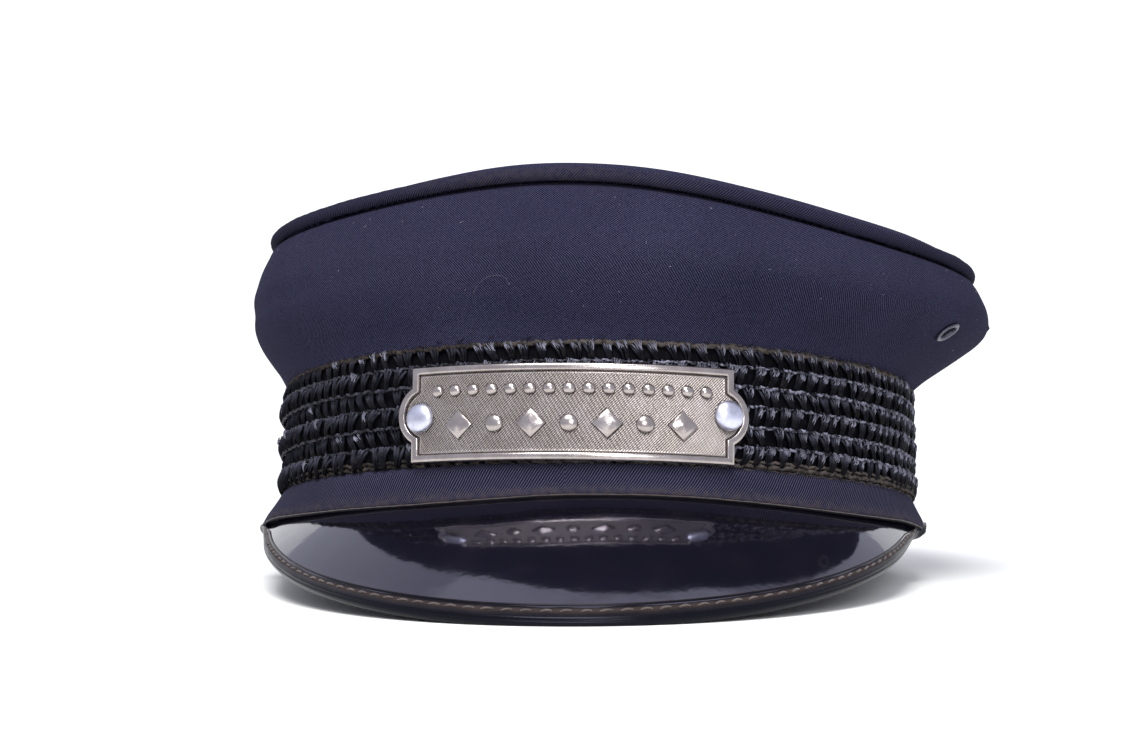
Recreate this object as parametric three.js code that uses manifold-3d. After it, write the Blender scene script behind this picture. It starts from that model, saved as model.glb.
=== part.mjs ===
// A conductor's cap of dark blue cloth: a soft crown over a stiff head band
// with a woven black braid, a bound patent leather visor and a badge plate of
// nickel silver. Millimetres. The front of the cap faces -Y and +Z is up. The
// cap rests on the front edge of its visor and on the rear of its band, so the
// whole assembly leans back, and its origin is under the middle of its outline.

import * as THREE from "three";
import { LoftGeometry } from "three/addons/geometries/LoftGeometry.js";
import { mergeVertices } from "three/addons/utils/BufferGeometryUtils.js";
import Module from "manifold-3d";

const wasm = await Module();
wasm.setup();

// Clearance between neighbouring pieces, and the steps of the round pieces
const GAP = 0.3;
const STEPS_AROUND = 60;
const STEPS_VISOR = 36;
const STEPS_BADGE = 15;
const STEPS_RIVET = 16;
const STEPS_DOME = 4;
const STEPS_EYELET = 14;

// Head band, measured over the braid
const BAND_HALF_WIDTH = 95;
const BAND_HALF_LENGTH = 102.5;
const BAND_WALL = 2.6;
const STRIP_HEIGHT = 8.8; // the bare cloth below the braid
const STRIP_SET_BACK = 0.6; // how far its face lies behind the braid's
const STRIP_STEP = 1.4; // height of the step from the strip to the braid's seat
const BRAID_HEIGHT = 31.75;
const BRAID_THICKNESS = 1.7;
const RIDGE_HEIGHT = 0.9; // of the braid's three ridges, at the front
const RIDGE_LEAN = 0.6; // share by which they swell on the left and flatten on the right

// The visor's corners pull the strip outwards and down
const CORNER_FLARE_LEFT = 5.8; // at -X
const CORNER_FLARE_RIGHT = 4; // at +X
const CORNER_DROOP = 1.6;
const CORNER_SPREAD = 0.32; // radians along the band
const CORNER_FULLNESS = 1; // share of the flare at half the strip's height

// Crown: how far its wall hangs out over the band, and how high its seam runs
const CROWN_WALL = 2;
const CROWN_SET_BACK = 1; // of the wall's foot, behind the braid's face
const OVERHANG_FRONT = 10.5;
const OVERHANG_SIDE = 17.4;
const OVERHANG_REAR = 20.5;
const CROWN_HEIGHT = 41.3; // of the piping over the band, at the sides
const FRONT_DIP = 9.4; // the seam falls by this towards the front
const FRONT_PEAK = 9.9; // but its very front is held up by this
const PEAK_SHARPNESS = 10;
const REAR_SETTLE = 0.7; // share of the rise behind the sides that sinks back
const CROWN_SAG = 6.2; // the left side stands higher and the right side hangs lower
const LEFT_SINK = 1.7; // of the seam at the far left
const CROWN_LEAN = 7; // the crown has slipped to the right

// Sections of the crown's wall from the band to the seam: the height as a share
// of the wall's, the overhang as a share of the overhang above, and the slip to
// the right as a share of CROWN_LEAN
const CROWN_SECTIONS = [
  { rise: 0.0, flare: 0.0, lean: 0.0 },
  { rise: 0.1, flare: 0.17, lean: 0.07 },
  { rise: 0.2, flare: 0.39, lean: 0.14 },
  { rise: 0.3, flare: 0.62, lean: 0.3 },
  { rise: 0.4, flare: 0.81, lean: 0.55 },
  { rise: 0.5, flare: 0.94, lean: 0.85 },
  { rise: 0.6, flare: 1.0, lean: 0.92 },
  { rise: 0.7, flare: 0.97, lean: 0.97 },
  { rise: 0.8, flare: 0.9, lean: 0.97 },
  { rise: 0.9, flare: 0.8, lean: 1.0 },
  { rise: 1.0, flare: 0.69, lean: 1.0 },
];

// Piping in the seam, and the panel that closes the crown
const PIPING_RADIUS = 1.75;
const PIPING_SIDES = 8;
const PIPING_SET_IN = 0.4; // behind the face of the wall's upper edge
const TOP_WALL = 2;
const TOP_RIM_RISE = 0.8; // of the panel's rim over the piping's middle
const TOP_PUFF = 5; // how far the panel swells above its rim
const TOP_PUFF_LOSS = 0.85; // share of the swelling that is lost on the left
const TOP_CENTRE_RISE = 41; // of its middle over the band, without the swelling

// Sections of the top panel from its rim to its middle
const TOP_SECTIONS = [
  { spread: 1.0, puff: 0.0 },
  { spread: 0.985, puff: 0.45 },
  { spread: 0.96, puff: 0.8 },
  { spread: 0.92, puff: 0.97 },
  { spread: 0.84, puff: 1.0 },
  { spread: 0.65, puff: 0.9 },
  { spread: 0.35, puff: 0.75 },
  { spread: 0.0, puff: 0.7 },
];
const UNDERSIDE_EVERY = 2; // the hidden inner faces use every second section

// Outline of the braid's face from its lower edge to its upper edge: the three
// ridges are its even rows of loops
const BRAID_SECTIONS = [
  { rise: 0.0, ridge: 0.0 },
  { rise: 0.03, ridge: 0.3 },
  { rise: 0.085, ridge: 1.0 },
  { rise: 0.25, ridge: 0.0 },
  { rise: 0.415, ridge: 1.0 },
  { rise: 0.58, ridge: 0.0 },
  { rise: 0.75, ridge: 1.0 },
  { rise: 0.92, ridge: 0.1 },
  { rise: 1.0, ridge: 0.0 },
];

// Visor: a crescent that slopes down and forwards from the band
const VISOR_HALF_ANGLE = 1.43; // radians from the front to each corner
const VISOR_SEAT_DEPTH = 2.6; // of its inner edge behind the braid's face
const VISOR_REACH = 42.3; // of its outer edge in front of the braid
const VISOR_DROP = 32.3; // of its outer edge below the band
const VISOR_DROP_LEAN = 0.02; // share by which its right side hangs lower
const VISOR_SLIP = 1.8; // of its front to the right
const VISOR_SET_IN = 0.5; // of its ears from the braid's face at the sides
const VISOR_CORNER_FORWARD = 15; // of its corners, before the ears
const VISOR_END_SHARE = 0.96; // share of the half angle at which its corners are cut off
const VISOR_SWELL = 1.2; // of its face between the seam and the edge
const VISOR_THICKNESS = 1.8;
const VISOR_EDGE_THICKNESS = 0.8; // pared down inside the binding
const BINDING_WIDTH = 6;
const BINDING_LEG = 0.8;
const BINDING_GAP = 0.25;
const TONGUE_GAP = 0.6; // between the visor's pared edge and the fold of the binding
const BINDING_PROUD = 0.3; // over the visor's face
const BINDING_ROUND = 0.8;
const BINDING_MOST_SHARE = 0.45; // share of a short stretch of visor that it may cover
const WELT_RADIUS = 0.65;
const WELT_SIDES = 6;
const WELT_HALF_ANGLE = 1.3;
const WELT_LEAST_FALL = 0.05; // of the visor's face away from the band, near its corners

// Badge plate, curved to the band
const BADGE_HALF_WIDTH = 42.5;
const BADGE_HEIGHT = 25;
const BADGE_LIFT = 1.2; // of its lower edge over the braid's
const BADGE_STANDOFF = 0.5; // of its back from the braid's face
const BADGE_FIELD = 0.9; // thickness of the sunk field
const BADGE_RIM = 1.6; // thickness at the rim
const BADGE_RIM_WIDTH = 1.9;
const BADGE_EDGE_ROUND = 0.6;
const BADGE_RIM_SLOPE = 0.35;
const EAR_RADIUS = 8.2;
const EAR_REACH = 4.2; // past the plate's ends
const EAR_STEPS = 5;
const RIVET_INSET = 5.7; // from the ear's tip to the rivet's middle
const RIVET_RADIUS = 3.75;
const RIVET_HEIGHT = 2.3;
const RIVET_FOOT = 0.5;
const RIVET_GAP = 0.4; // under a flat foot on the curved plate

// Raised ornament on the badge: a row of small studs over a row of lozenges and larger studs
const STUD_COUNT = 15;
const STUD_PITCH = 5;
const STUD_RADIUS = 1.7;
const STUD_RISE = 5.9; // of the row over the plate's middle
const BETWEEN_RADIUS = 2.4; // of the larger studs between the lozenges
const LOZENGE_COUNT = 7; // lozenges and the larger studs in turn
const LOZENGE_PITCH = 9.6;
const LOZENGE_HALF_WIDTH = 4.1;
const LOZENGE_HALF_HEIGHT = 4.2;
const LOZENGE_RISE = -3;
const ORNAMENT_RELIEF = 0.6;
const ORNAMENT_ROOT = 0.3; // sunk into the field, so that it is one casting
const ORNAMENT_TAPER = 0.55; // of its top against its foot
const STUD_SIDES = 8;

// Vent eyelet
const EYELET_ANGLE = 1.17; // radians from the front, to the right
const EYELET_RISE = 0.385; // share of the crown's wall
const EYELET_RADIUS = 3.9;
const EYELET_BORE = 1.5;
const EYELET_BARREL = 2.2;
const EYELET_FLANGE = 0.7;
const EYELET_BEVEL = 0.3;
const EYELET_MOUTH = 0.4; // by which the bore widens at the flange
const EYELET_DRILL = 12; // length of the drill through the cloth, longer than the wall is thick

// Rest
const REST_FLAT = 0.6; // depth to which the weight flattens the two contacts

// Derived places
const BAND_TOP = STRIP_HEIGHT + BRAID_HEIGHT;
const BRAID_SEAT = -(BRAID_THICKNESS + GAP);

const finish = (color, roughness, metalness = 0) =>
  new THREE.MeshStandardMaterial({ color, roughness, metalness });
const CLOTH = finish(0x26263e, 0.9);
const BRAID = finish(0x17171d, 0.6);
const PATENT_LEATHER = finish(0x0a0a10, 0.12);
const BINDING_LEATHER = finish(0x1d1a1e, 0.45);
const WORN_LEATHER = finish(0x3a3029, 0.8);
const NICKEL_SILVER = finish(0xb9ada0, 0.35, 0.9);
const RIVET_STEEL = finish(0xc9ccd4, 0.3, 0.9);
const EYELET_METAL = finish(0x6d7078, 0.45, 0.7);

/** A point round the head: out from the braid's face and up from the band's lower edge. */
function around(angle, { out, up, lean = 0 }) {
  return new THREE.Vector3(
    (BAND_HALF_WIDTH + out) * Math.sin(angle) + lean,
    -(BAND_HALF_LENGTH + out) * Math.cos(angle),
    up,
  );
}

/** The direction that faces straight away from the head at an angle. */
function outward(angle) {
  return new THREE.Vector3(
    BAND_HALF_LENGTH * Math.sin(angle),
    -BAND_HALF_WIDTH * Math.cos(angle),
    0,
  ).normalize();
}

/** A closed geometry with its shared points merged and its slivers left out. */
function tidied(geometry) {
  const bare = new THREE.BufferGeometry();
  bare.setAttribute("position", geometry.getAttribute("position"));
  bare.setIndex(geometry.index);
  const merged = mergeVertices(bare, 1e-3);
  const kept = [];
  const index = merged.index.array;
  for (let i = 0; i < index.length; i += 3) {
    const [a, b, c] = index.subarray(i, i + 3);
    if (a !== b && b !== c && c !== a) kept.push(a, b, c);
  }
  merged.setIndex(kept);
  merged.computeVertexNormals();
  return merged;
}

/** The angles at which round pieces have their points, from the rear over the right to the rear. */
const ANGLES = Array.from(
  { length: STEPS_AROUND },
  (_, i) => Math.PI - (i * 2 * Math.PI) / STEPS_AROUND,
);

/** A piece that runs right round the head, from its closed section at each angle. */
function ring(sectionAt) {
  const sections = ANGLES.map((angle) =>
    sectionAt(angle).map((place) => around(angle, place)),
  );
  return tidied(new LoftGeometry([...sections, sections[0]]));
}

/** A piece with two closed ends, lofted through its sections. */
function bar(sections) {
  return tidied(new LoftGeometry(sections, { capStart: true, capEnd: true }));
}

/** A geometry as a solid that can be joined and cut. */
function solidOf(geometry) {
  const merged = tidied(geometry);
  return new wasm.Manifold(
    new wasm.Mesh({
      numProp: 3,
      vertProperties: new Float32Array(merged.attributes.position.array),
      triVerts: new Uint32Array(merged.index.array),
    }),
  );
}

/** The geometry of a solid. */
function geometryOf(solid) {
  const { vertProperties, triVerts } = solid.getMesh();
  const geometry = new THREE.BufferGeometry();
  geometry.setAttribute("position", new THREE.BufferAttribute(vertProperties, 3));
  geometry.setIndex(new THREE.BufferAttribute(triVerts, 1));
  geometry.computeVertexNormals();
  return geometry;
}

/** The turn that points a piece modelled along +Y in a direction. */
function facing(direction) {
  return new THREE.Quaternion().setFromUnitVectors(new THREE.Vector3(0, 1, 0), direction);
}

// Head band and braid

/** How strongly the visor's corners pull at an angle, from 0 to 1. */
function cornerPull(angle) {
  return Math.exp(-(((Math.abs(angle) - VISOR_HALF_ANGLE) / CORNER_SPREAD) ** 2));
}

function cornerFlare(angle) {
  return cornerPull(angle) * (angle < 0 ? CORNER_FLARE_LEFT : CORNER_FLARE_RIGHT);
}

/** Section of the head band: a strip that carries the visor, and the braid's seat set back from it. */
function headBandSection(angle) {
  const flare = cornerFlare(angle);
  const foot = -cornerPull(angle) * CORNER_DROOP;
  const strip = -STRIP_SET_BACK;
  const shoulder = STRIP_HEIGHT - STRIP_STEP;
  return [
    { out: strip + flare, up: foot },
    { out: strip + flare * CORNER_FULLNESS, up: shoulder / 2 },
    { out: strip, up: shoulder },
    { out: BRAID_SEAT, up: STRIP_HEIGHT },
    { out: BRAID_SEAT, up: BAND_TOP },
    { out: BRAID_SEAT - BAND_WALL, up: BAND_TOP },
    { out: BRAID_SEAT - BAND_WALL, up: STRIP_HEIGHT },
    { out: strip - BAND_WALL, up: shoulder },
    { out: strip - BAND_WALL + flare, up: foot },
  ];
}

/** Section of the braid: flat at the back, three ridges and two flat edges on its face. */
function braidSection(angle) {
  const ridge = RIDGE_HEIGHT * (1 - RIDGE_LEAN * Math.sin(angle));
  const foot = STRIP_HEIGHT + GAP;
  const height = BRAID_HEIGHT - 2 * GAP;
  const face = BRAID_SECTIONS.map((row) => ({
    out: ridge * (row.ridge - 1),
    up: foot + row.rise * height,
  }));
  const back = BRAID_SEAT + GAP;
  return [...face, { out: back, up: foot + height }, { out: back, up: foot }];
}

// Crown

/** Height of the piping's middle over the band's top at an angle. */
function crownHeight(angle) {
  const forward = Math.cos(angle);
  const fall = forward > 0 ? FRONT_DIP * forward : FRONT_DIP * forward * (1 + REAR_SETTLE * forward);
  const peak = FRONT_PEAK * ((1 + forward) / 2) ** PEAK_SHARPNESS;
  const sink = LEFT_SINK * Math.max(-Math.sin(angle), 0) ** 6;
  return CROWN_HEIGHT - fall + peak - sink - CROWN_SAG * Math.sin(angle);
}

/** How far the crown's widest line hangs out over the band at an angle. */
function overhang(angle) {
  const forward = Math.cos(angle);
  const end = forward > 0 ? OVERHANG_FRONT : OVERHANG_REAR;
  return OVERHANG_SIDE + (end - OVERHANG_SIDE) * forward ** 2;
}

/** A place on the crown's face at an angle, from a row of its sections. */
function crownFace(angle, { rise, flare, lean }) {
  const foot = BAND_TOP + GAP;
  const head = BAND_TOP + crownHeight(angle) - PIPING_RADIUS - GAP;
  return {
    out: flare * overhang(angle) - CROWN_SET_BACK,
    up: foot + rise * (head - foot),
    lean: lean * CROWN_LEAN,
  };
}

/** The row of the crown's sections at any height. */
function crownRow(rise) {
  const above = CROWN_SECTIONS.findIndex((row) => row.rise >= rise);
  const upper = CROWN_SECTIONS[Math.max(above, 1)];
  const lower = CROWN_SECTIONS[Math.max(above, 1) - 1];
  const share = (rise - lower.rise) / (upper.rise - lower.rise);
  const mix = (key) => THREE.MathUtils.lerp(lower[key], upper[key], share);
  return { rise, flare: mix("flare"), lean: mix("lean") };
}

/** Places of the crown's inner face, one wall behind the outer face. */
function crownInside(faces, angle) {
  const reach = ({ out, lean }) => out + lean * Math.sin(angle);
  return faces.map((face, i) => {
    const below = faces[Math.max(i - 1, 0)];
    const above = faces[Math.min(i + 1, faces.length - 1)];
    const run = new THREE.Vector2(reach(above) - reach(below), above.up - below.up).normalize();
    return {
      out: face.out - CROWN_WALL * run.y,
      up: face.up + CROWN_WALL * run.x,
      lean: face.lean,
    };
  });
}

function crownSideSection(angle) {
  const faces = CROWN_SECTIONS.map((row) => crownFace(angle, row));
  const inside = crownInside(faces, angle).filter((_, i) => i % UNDERSIDE_EVERY === 0);
  return [...faces, ...inside.reverse()];
}

/** Middle of the piping at an angle. */
function pipingCentre(angle) {
  const seam = crownFace(angle, CROWN_SECTIONS.at(-1));
  return { ...seam, out: seam.out - PIPING_SET_IN, up: BAND_TOP + crownHeight(angle) };
}

/** A round section of a cord about its middle. */
function roundSection(centre, radius, sides) {
  return Array.from({ length: sides }, (_, i) => {
    const turn = (2 * Math.PI * (i + 0.5)) / sides;
    return {
      ...centre,
      out: centre.out + radius * Math.cos(turn),
      up: centre.up + radius * Math.sin(turn),
    };
  });
}

function pipingSection(angle) {
  return roundSection(pipingCentre(angle), PIPING_RADIUS, PIPING_SIDES);
}

/** A point of the top panel: on its face, or one wall below it. */
function topPoint(angle, { spread, puff }, below) {
  const cord = pipingCentre(angle);
  const rim = around(angle, {
    ...cord,
    out: cord.out - PIPING_RADIUS - GAP,
    up: cord.up + TOP_RIM_RISE,
  });
  const middle = new THREE.Vector3(CROWN_LEAN, 0, BAND_TOP + TOP_CENTRE_RISE);
  const point = middle.clone().lerp(rim, spread);
  const left = Math.max(-Math.sin(angle), 0) ** 3;
  const swell = TOP_PUFF * puff * (1 - TOP_PUFF_LOSS * spread * left);
  point.z = middle.z + (rim.z - middle.z) * spread ** 2 + swell - below;
  return point;
}

function crownTop() {
  const level = (row, below) => ANGLES.map((angle) => topPoint(angle, row, below));
  const face = TOP_SECTIONS.map((row) => level(row, 0));
  const under = TOP_SECTIONS.filter(
    (row, i) => i % UNDERSIDE_EVERY === 0 || row.spread === 0,
  ).map((row) => level(row, TOP_WALL));
  return tidied(new LoftGeometry([...face.reverse(), ...under]));
}

// Visor, binding and welt

/** Inner and outer ends of the visor's face at a station from -1 (left corner) to 1. */
function visorLine(station) {
  const seam = station * VISOR_HALF_ANGLE;
  const inner = around(seam, {
    out: -VISOR_SEAT_DEPTH,
    up: -cornerPull(seam) * CORNER_DROOP - GAP - BINDING_PROUD,
  });
  const swing = (station * Math.PI) / 2;
  const tip = BAND_HALF_LENGTH + VISOR_REACH - VISOR_CORNER_FORWARD;
  const outer = new THREE.Vector3(
    (BAND_HALF_WIDTH - VISOR_SET_IN) * Math.sin(swing) + VISOR_SLIP * Math.cos(swing),
    -(VISOR_CORNER_FORWARD + tip * Math.cos(swing)),
    0,
  );
  const share = Math.max(inner.y - outer.y, 0) / (VISOR_REACH + VISOR_SEAT_DEPTH);
  const drop = VISOR_DROP * (1 + VISOR_DROP_LEAN * Math.sin(swing));
  outer.z = inner.z - drop * share;
  return { inner, outer, share };
}

/** A point of the visor's face, a share of the way from the seam to the outer edge. */
function visorFace(station, share) {
  const { inner, outer, share: length } = visorLine(station);
  const point = inner.lerp(outer, share);
  point.z += VISOR_SWELL * length * 4 * share * (1 - share);
  return point;
}

/** The direction in which the visor's face looks at a station. */
function visorNormal(station, share) {
  const step = 0.01;
  const middle = THREE.MathUtils.clamp(station, step - 1, 1 - step);
  const along = visorFace(middle + step, share).sub(visorFace(middle - step, share));
  const across = visorFace(middle, share + step).sub(visorFace(middle, share - step));
  return across.cross(along).normalize();
}

/** Share of the visor's length at a station that the binding covers. */
function bindingShare(station) {
  const { inner, outer } = visorLine(station);
  return Math.min(BINDING_WIDTH / inner.distanceTo(outer), BINDING_MOST_SHARE);
}

/** A point of the visor: cover counts binding widths back from the outer edge, share is of the rest. */
function visorPoint(station, { cover = 0, share = 1, depth = 0 }) {
  const bound = bindingShare(station);
  const along = (1 - bound) * share + bound * (1 - cover) * (share === 1 ? 1 : 0);
  return visorFace(station, along).addScaledVector(visorNormal(station, along), -depth);
}

/** A piece along the visor, from one corner to the other, with a section of visor points. */
function visorBar(section) {
  const sections = [];
  for (let i = 0; i <= STEPS_VISOR; i++) {
    const station = VISOR_END_SHARE * ((2 * i) / STEPS_VISOR - 1);
    sections.push(section.map((place) => visorPoint(station, place)));
  }
  return bar(sections);
}

function visor() {
  const pared = BINDING_LEG + BINDING_GAP - BINDING_PROUD;
  const step = 1 + GAP / BINDING_WIDTH;
  const end = (BINDING_LEG + TONGUE_GAP) / BINDING_WIDTH;
  return visorBar([
    { share: 0 },
    { share: 0.33 },
    { share: 0.67 },
    { cover: step },
    { cover: step, depth: pared },
    { cover: end, depth: pared },
    { cover: end, depth: pared + VISOR_EDGE_THICKNESS },
    { cover: step, depth: pared + VISOR_EDGE_THICKNESS },
    { cover: step, depth: VISOR_THICKNESS },
    { share: 0.67, depth: VISOR_THICKNESS },
    { share: 0.33, depth: VISOR_THICKNESS },
    { share: 0, depth: VISOR_THICKNESS },
  ]);
}

/** The binding: a strip of leather folded over the visor's edge. */
function visorBinding() {
  const top = -BINDING_PROUD;
  const thickness = 2 * (BINDING_LEG + BINDING_GAP) + VISOR_EDGE_THICKNESS;
  const round = BINDING_ROUND / BINDING_WIDTH;
  const leg = BINDING_LEG / BINDING_WIDTH;
  return visorBar([
    { cover: 1, depth: top },
    { cover: round, depth: top },
    { cover: 0, depth: top + BINDING_ROUND },
    { cover: 0, depth: top + thickness - BINDING_ROUND },
    { cover: round, depth: top + thickness },
    { cover: 1, depth: top + thickness },
    { cover: 1, depth: top + thickness - BINDING_LEG },
    { cover: leg, depth: top + thickness - BINDING_LEG },
    { cover: leg, depth: top + BINDING_LEG },
    { cover: 1, depth: top + BINDING_LEG },
  ]);
}

/** The welt: a thin cord that lies between the strip's lower edge and the visor's face. */
function visorWelt() {
  const clear = WELT_RADIUS + GAP;
  const sections = [];
  for (let i = 0; i <= STEPS_VISOR; i++) {
    const station = ((2 * i) / STEPS_VISOR - 1) * (WELT_HALF_ANGLE / VISOR_HALF_ANGLE);
    const angle = station * VISOR_HALF_ANGLE;
    const centre = visorFace(station, 0);
    const normal = visorNormal(station, 0);
    const away = outward(angle);
    const fall = Math.max(away.dot(normal) / normal.z, WELT_LEAST_FALL);
    const lift = clear * Math.hypot(1, fall);
    const underStrip = (lift + WELT_RADIUS) / fall;
    const besideStrip = VISOR_SEAT_DEPTH - STRIP_SET_BACK + cornerFlare(angle) + clear;
    const out = Math.min(underStrip, besideStrip);
    centre.addScaledVector(away, out);
    centre.z += lift - fall * out;
    sections.push(
      Array.from({ length: WELT_SIDES }, (_, k) => {
        const turn = (-2 * Math.PI * (k + 0.5)) / WELT_SIDES;
        const point = centre.clone().addScaledVector(away, WELT_RADIUS * Math.cos(turn));
        point.z += WELT_RADIUS * Math.sin(turn);
        return point;
      }),
    );
  }
  return bar(sections);
}

// Badge

/** A point of the badge: along its arc, up from its middle and proud of its back. */
function badgePoint(along, rise, proud) {
  const middle = STRIP_HEIGHT + BADGE_LIFT + BADGE_HEIGHT / 2;
  return around(along / BAND_HALF_WIDTH, { out: BADGE_STANDOFF + proud, up: middle + rise });
}

/** Half the height of a round ear, or of the field in it, at a place along the badge. */
function earHalf(along, radius) {
  const fromCentre = Math.abs(along) - (BADGE_HALF_WIDTH + EAR_REACH - EAR_RADIUS);
  return Math.sqrt(Math.max(radius ** 2 - fromCentre ** 2, 0));
}

/** Columns of one end of the badge, from the ear's tip to the field's corner. */
function badgeEndColumns() {
  const field = EAR_RADIUS - BADGE_RIM_WIDTH;
  const centre = BADGE_HALF_WIDTH + EAR_REACH - EAR_RADIUS;
  const columns = [];
  const corner = Math.acos((BADGE_HALF_WIDTH - centre) / EAR_RADIUS);
  for (let i = 1; i <= EAR_STEPS; i++) {
    const along = centre + EAR_RADIUS * Math.cos((corner * i) / EAR_STEPS);
    columns.push({ along, half: earHalf(along, EAR_RADIUS), field: earHalf(along, field) });
  }
  const inner = BADGE_HALF_WIDTH - BADGE_RIM_WIDTH;
  columns.push({ along: BADGE_HALF_WIDTH, half: BADGE_HEIGHT / 2, field: earHalf(BADGE_HALF_WIDTH, field) });
  columns.push({ along: inner, half: BADGE_HEIGHT / 2, field: earHalf(inner, field) });
  columns.push({ along: inner, half: BADGE_HEIGHT / 2, field: BADGE_HEIGHT / 2 - BADGE_RIM_WIDTH });
  return columns;
}

/** Section of the badge at a column: a flat back, a raised rim and a sunk field. */
function badgeSection({ along, half, field }) {
  const level = field > 0 ? BADGE_FIELD : BADGE_RIM;
  const slope = Math.min(BADGE_RIM_SLOPE, (half - field) / 2);
  const round = Math.min(BADGE_EDGE_ROUND, half / 3, (half - field) / 3);
  const right = [
    [half, 0],
    [half, BADGE_RIM - round],
    [half - round, BADGE_RIM],
    [field + slope, BADGE_RIM],
    [field, level],
  ];
  const left = right.map(([rise, proud]) => [-rise, proud]).reverse();
  return [...right, ...left].map(([rise, proud]) => badgePoint(along, rise, proud));
}

/** A tapered stud or lozenge that stands on the badge's field. */
function ornament(along, rise, halfWidth, halfHeight, sides) {
  const height = ORNAMENT_ROOT + ORNAMENT_RELIEF;
  const stud = new THREE.CylinderGeometry(ORNAMENT_TAPER, 1, height, sides);
  stud.scale(halfWidth, 1, halfHeight);
  stud.translate(0, height / 2 - ORNAMENT_ROOT, 0);
  const away = outward(along / BAND_HALF_WIDTH);
  const down = new THREE.Vector3(0, 0, -1);
  const basis = new THREE.Matrix4().makeBasis(away.clone().cross(down), away, down);
  stud.applyMatrix4(basis.setPosition(badgePoint(along, rise, BADGE_FIELD)));
  return solidOf(stud);
}

function badgePlate() {
  const end = badgeEndColumns();
  const inner = end.at(-1);
  const middle = [];
  for (let i = 1; i < STEPS_BADGE; i++) {
    middle.push({ ...inner, along: inner.along * ((2 * i) / STEPS_BADGE - 1) });
  }
  const mirrored = end.map((column) => ({ ...column, along: -column.along }));
  const columns = [...mirrored, ...middle, ...end.reverse()];
  let plate = solidOf(bar(columns.map(badgeSection)));
  const row = (count, pitch) =>
    Array.from({ length: count }, (_, i) => (i - (count - 1) / 2) * pitch);
  for (const along of row(STUD_COUNT, STUD_PITCH)) {
    plate = plate.add(ornament(along, STUD_RISE, STUD_RADIUS, STUD_RADIUS, STUD_SIDES));
  }
  row(LOZENGE_COUNT, LOZENGE_PITCH).forEach((along, i) => {
    const lozenge = i % 2 === 0;
    plate = plate.add(
      lozenge
        ? ornament(along, LOZENGE_RISE, LOZENGE_HALF_WIDTH, LOZENGE_HALF_HEIGHT, 4)
        : ornament(along, LOZENGE_RISE, BETWEEN_RADIUS, BETWEEN_RADIUS, STUD_SIDES),
    );
  });
  return geometryOf(plate);
}

/** A domed rivet head, modelled along +Y. */
function rivet() {
  const profile = [new THREE.Vector2(0, 0), new THREE.Vector2(RIVET_RADIUS, 0)];
  for (let i = 0; i <= STEPS_DOME; i++) {
    const turn = (Math.PI / 2) * (i / STEPS_DOME);
    profile.push(
      new THREE.Vector2(
        i === STEPS_DOME ? 0 : RIVET_RADIUS * Math.cos(turn),
        RIVET_FOOT + (RIVET_HEIGHT - RIVET_FOOT) * Math.sin(turn),
      ),
    );
  }
  return tidied(new THREE.LatheGeometry(profile, STEPS_RIVET));
}

// Vents

/** Place and direction of the eyelet in the crown's wall. */
function eyeletSeat() {
  const at = (rise, angle) => around(angle, crownFace(angle, crownRow(rise)));
  const step = 0.02;
  const up = at(EYELET_RISE + step, EYELET_ANGLE).sub(at(EYELET_RISE - step, EYELET_ANGLE));
  const along = at(EYELET_RISE, EYELET_ANGLE + step).sub(at(EYELET_RISE, EYELET_ANGLE - step));
  return { point: at(EYELET_RISE, EYELET_ANGLE), direction: along.cross(up).normalize() };
}

/** An eyelet, modelled along +Y with the cloth's face at y = 0: a flange outside and a barrel through. */
function eyelet() {
  const face = GAP + EYELET_FLANGE;
  const profile = [
    [EYELET_BORE, -CROWN_WALL],
    [EYELET_BARREL, -CROWN_WALL],
    [EYELET_BARREL, GAP],
    [EYELET_RADIUS, GAP],
    [EYELET_RADIUS - EYELET_BEVEL, face],
    [EYELET_BORE + EYELET_MOUTH, face],
    [EYELET_BORE, GAP],
    [EYELET_BORE, -CROWN_WALL],
  ].map(([radius, height]) => new THREE.Vector2(radius, height));
  return tidied(new THREE.LatheGeometry(profile, STEPS_EYELET));
}

/** The crown's wall, pierced for its eyelet. */
function crownSide() {
  const { point, direction } = eyeletSeat();
  const radius = EYELET_BARREL + GAP;
  const drill = new THREE.CylinderGeometry(radius, radius, EYELET_DRILL, STEPS_EYELET);
  drill.applyQuaternion(facing(direction)).translate(point.x, point.y, point.z);
  return geometryOf(solidOf(ring(crownSideSection)).subtract(solidOf(drill)));
}

// Rest

/** The lean at which the cap rests on its rear edge and on the front of the visor. */
function restLean(binding) {
  let lean = 0;
  const point = new THREE.Vector3();
  const rear = BAND_HALF_LENGTH - STRIP_SET_BACK;
  for (let i = 0; i < binding.attributes.position.count; i++) {
    point.fromBufferAttribute(binding.attributes.position, i);
    lean = Math.max(lean, Math.atan2(-point.z, rear - point.y));
  }
  return lean;
}

/** A piece with what the surface flattens cut away. */
function flattened(geometry, lean) {
  const size = 8 * BAND_HALF_LENGTH; // so that it reaches past the visor
  const ground = new THREE.BoxGeometry(size, size, size);
  ground.translate(0, 0, REST_FLAT - size / 2);
  ground.rotateX(lean);
  ground.translate(0, BAND_HALF_LENGTH - STRIP_SET_BACK, 0);
  return geometryOf(solidOf(geometry).subtract(solidOf(ground)));
}

const cap = new THREE.Group();
const assembly = new THREE.Group();
cap.add(assembly);

/** Adds a named piece to the assembly, at a place and with a turn if it has them. */
function add(name, geometry, material, { point, direction } = {}) {
  const mesh = new THREE.Mesh(geometry, material);
  mesh.name = name;
  if (point) mesh.position.copy(point);
  if (direction) mesh.quaternion.copy(facing(direction));
  assembly.add(mesh);
}

const bound = visorBinding();
const lean = restLean(bound);

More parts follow.
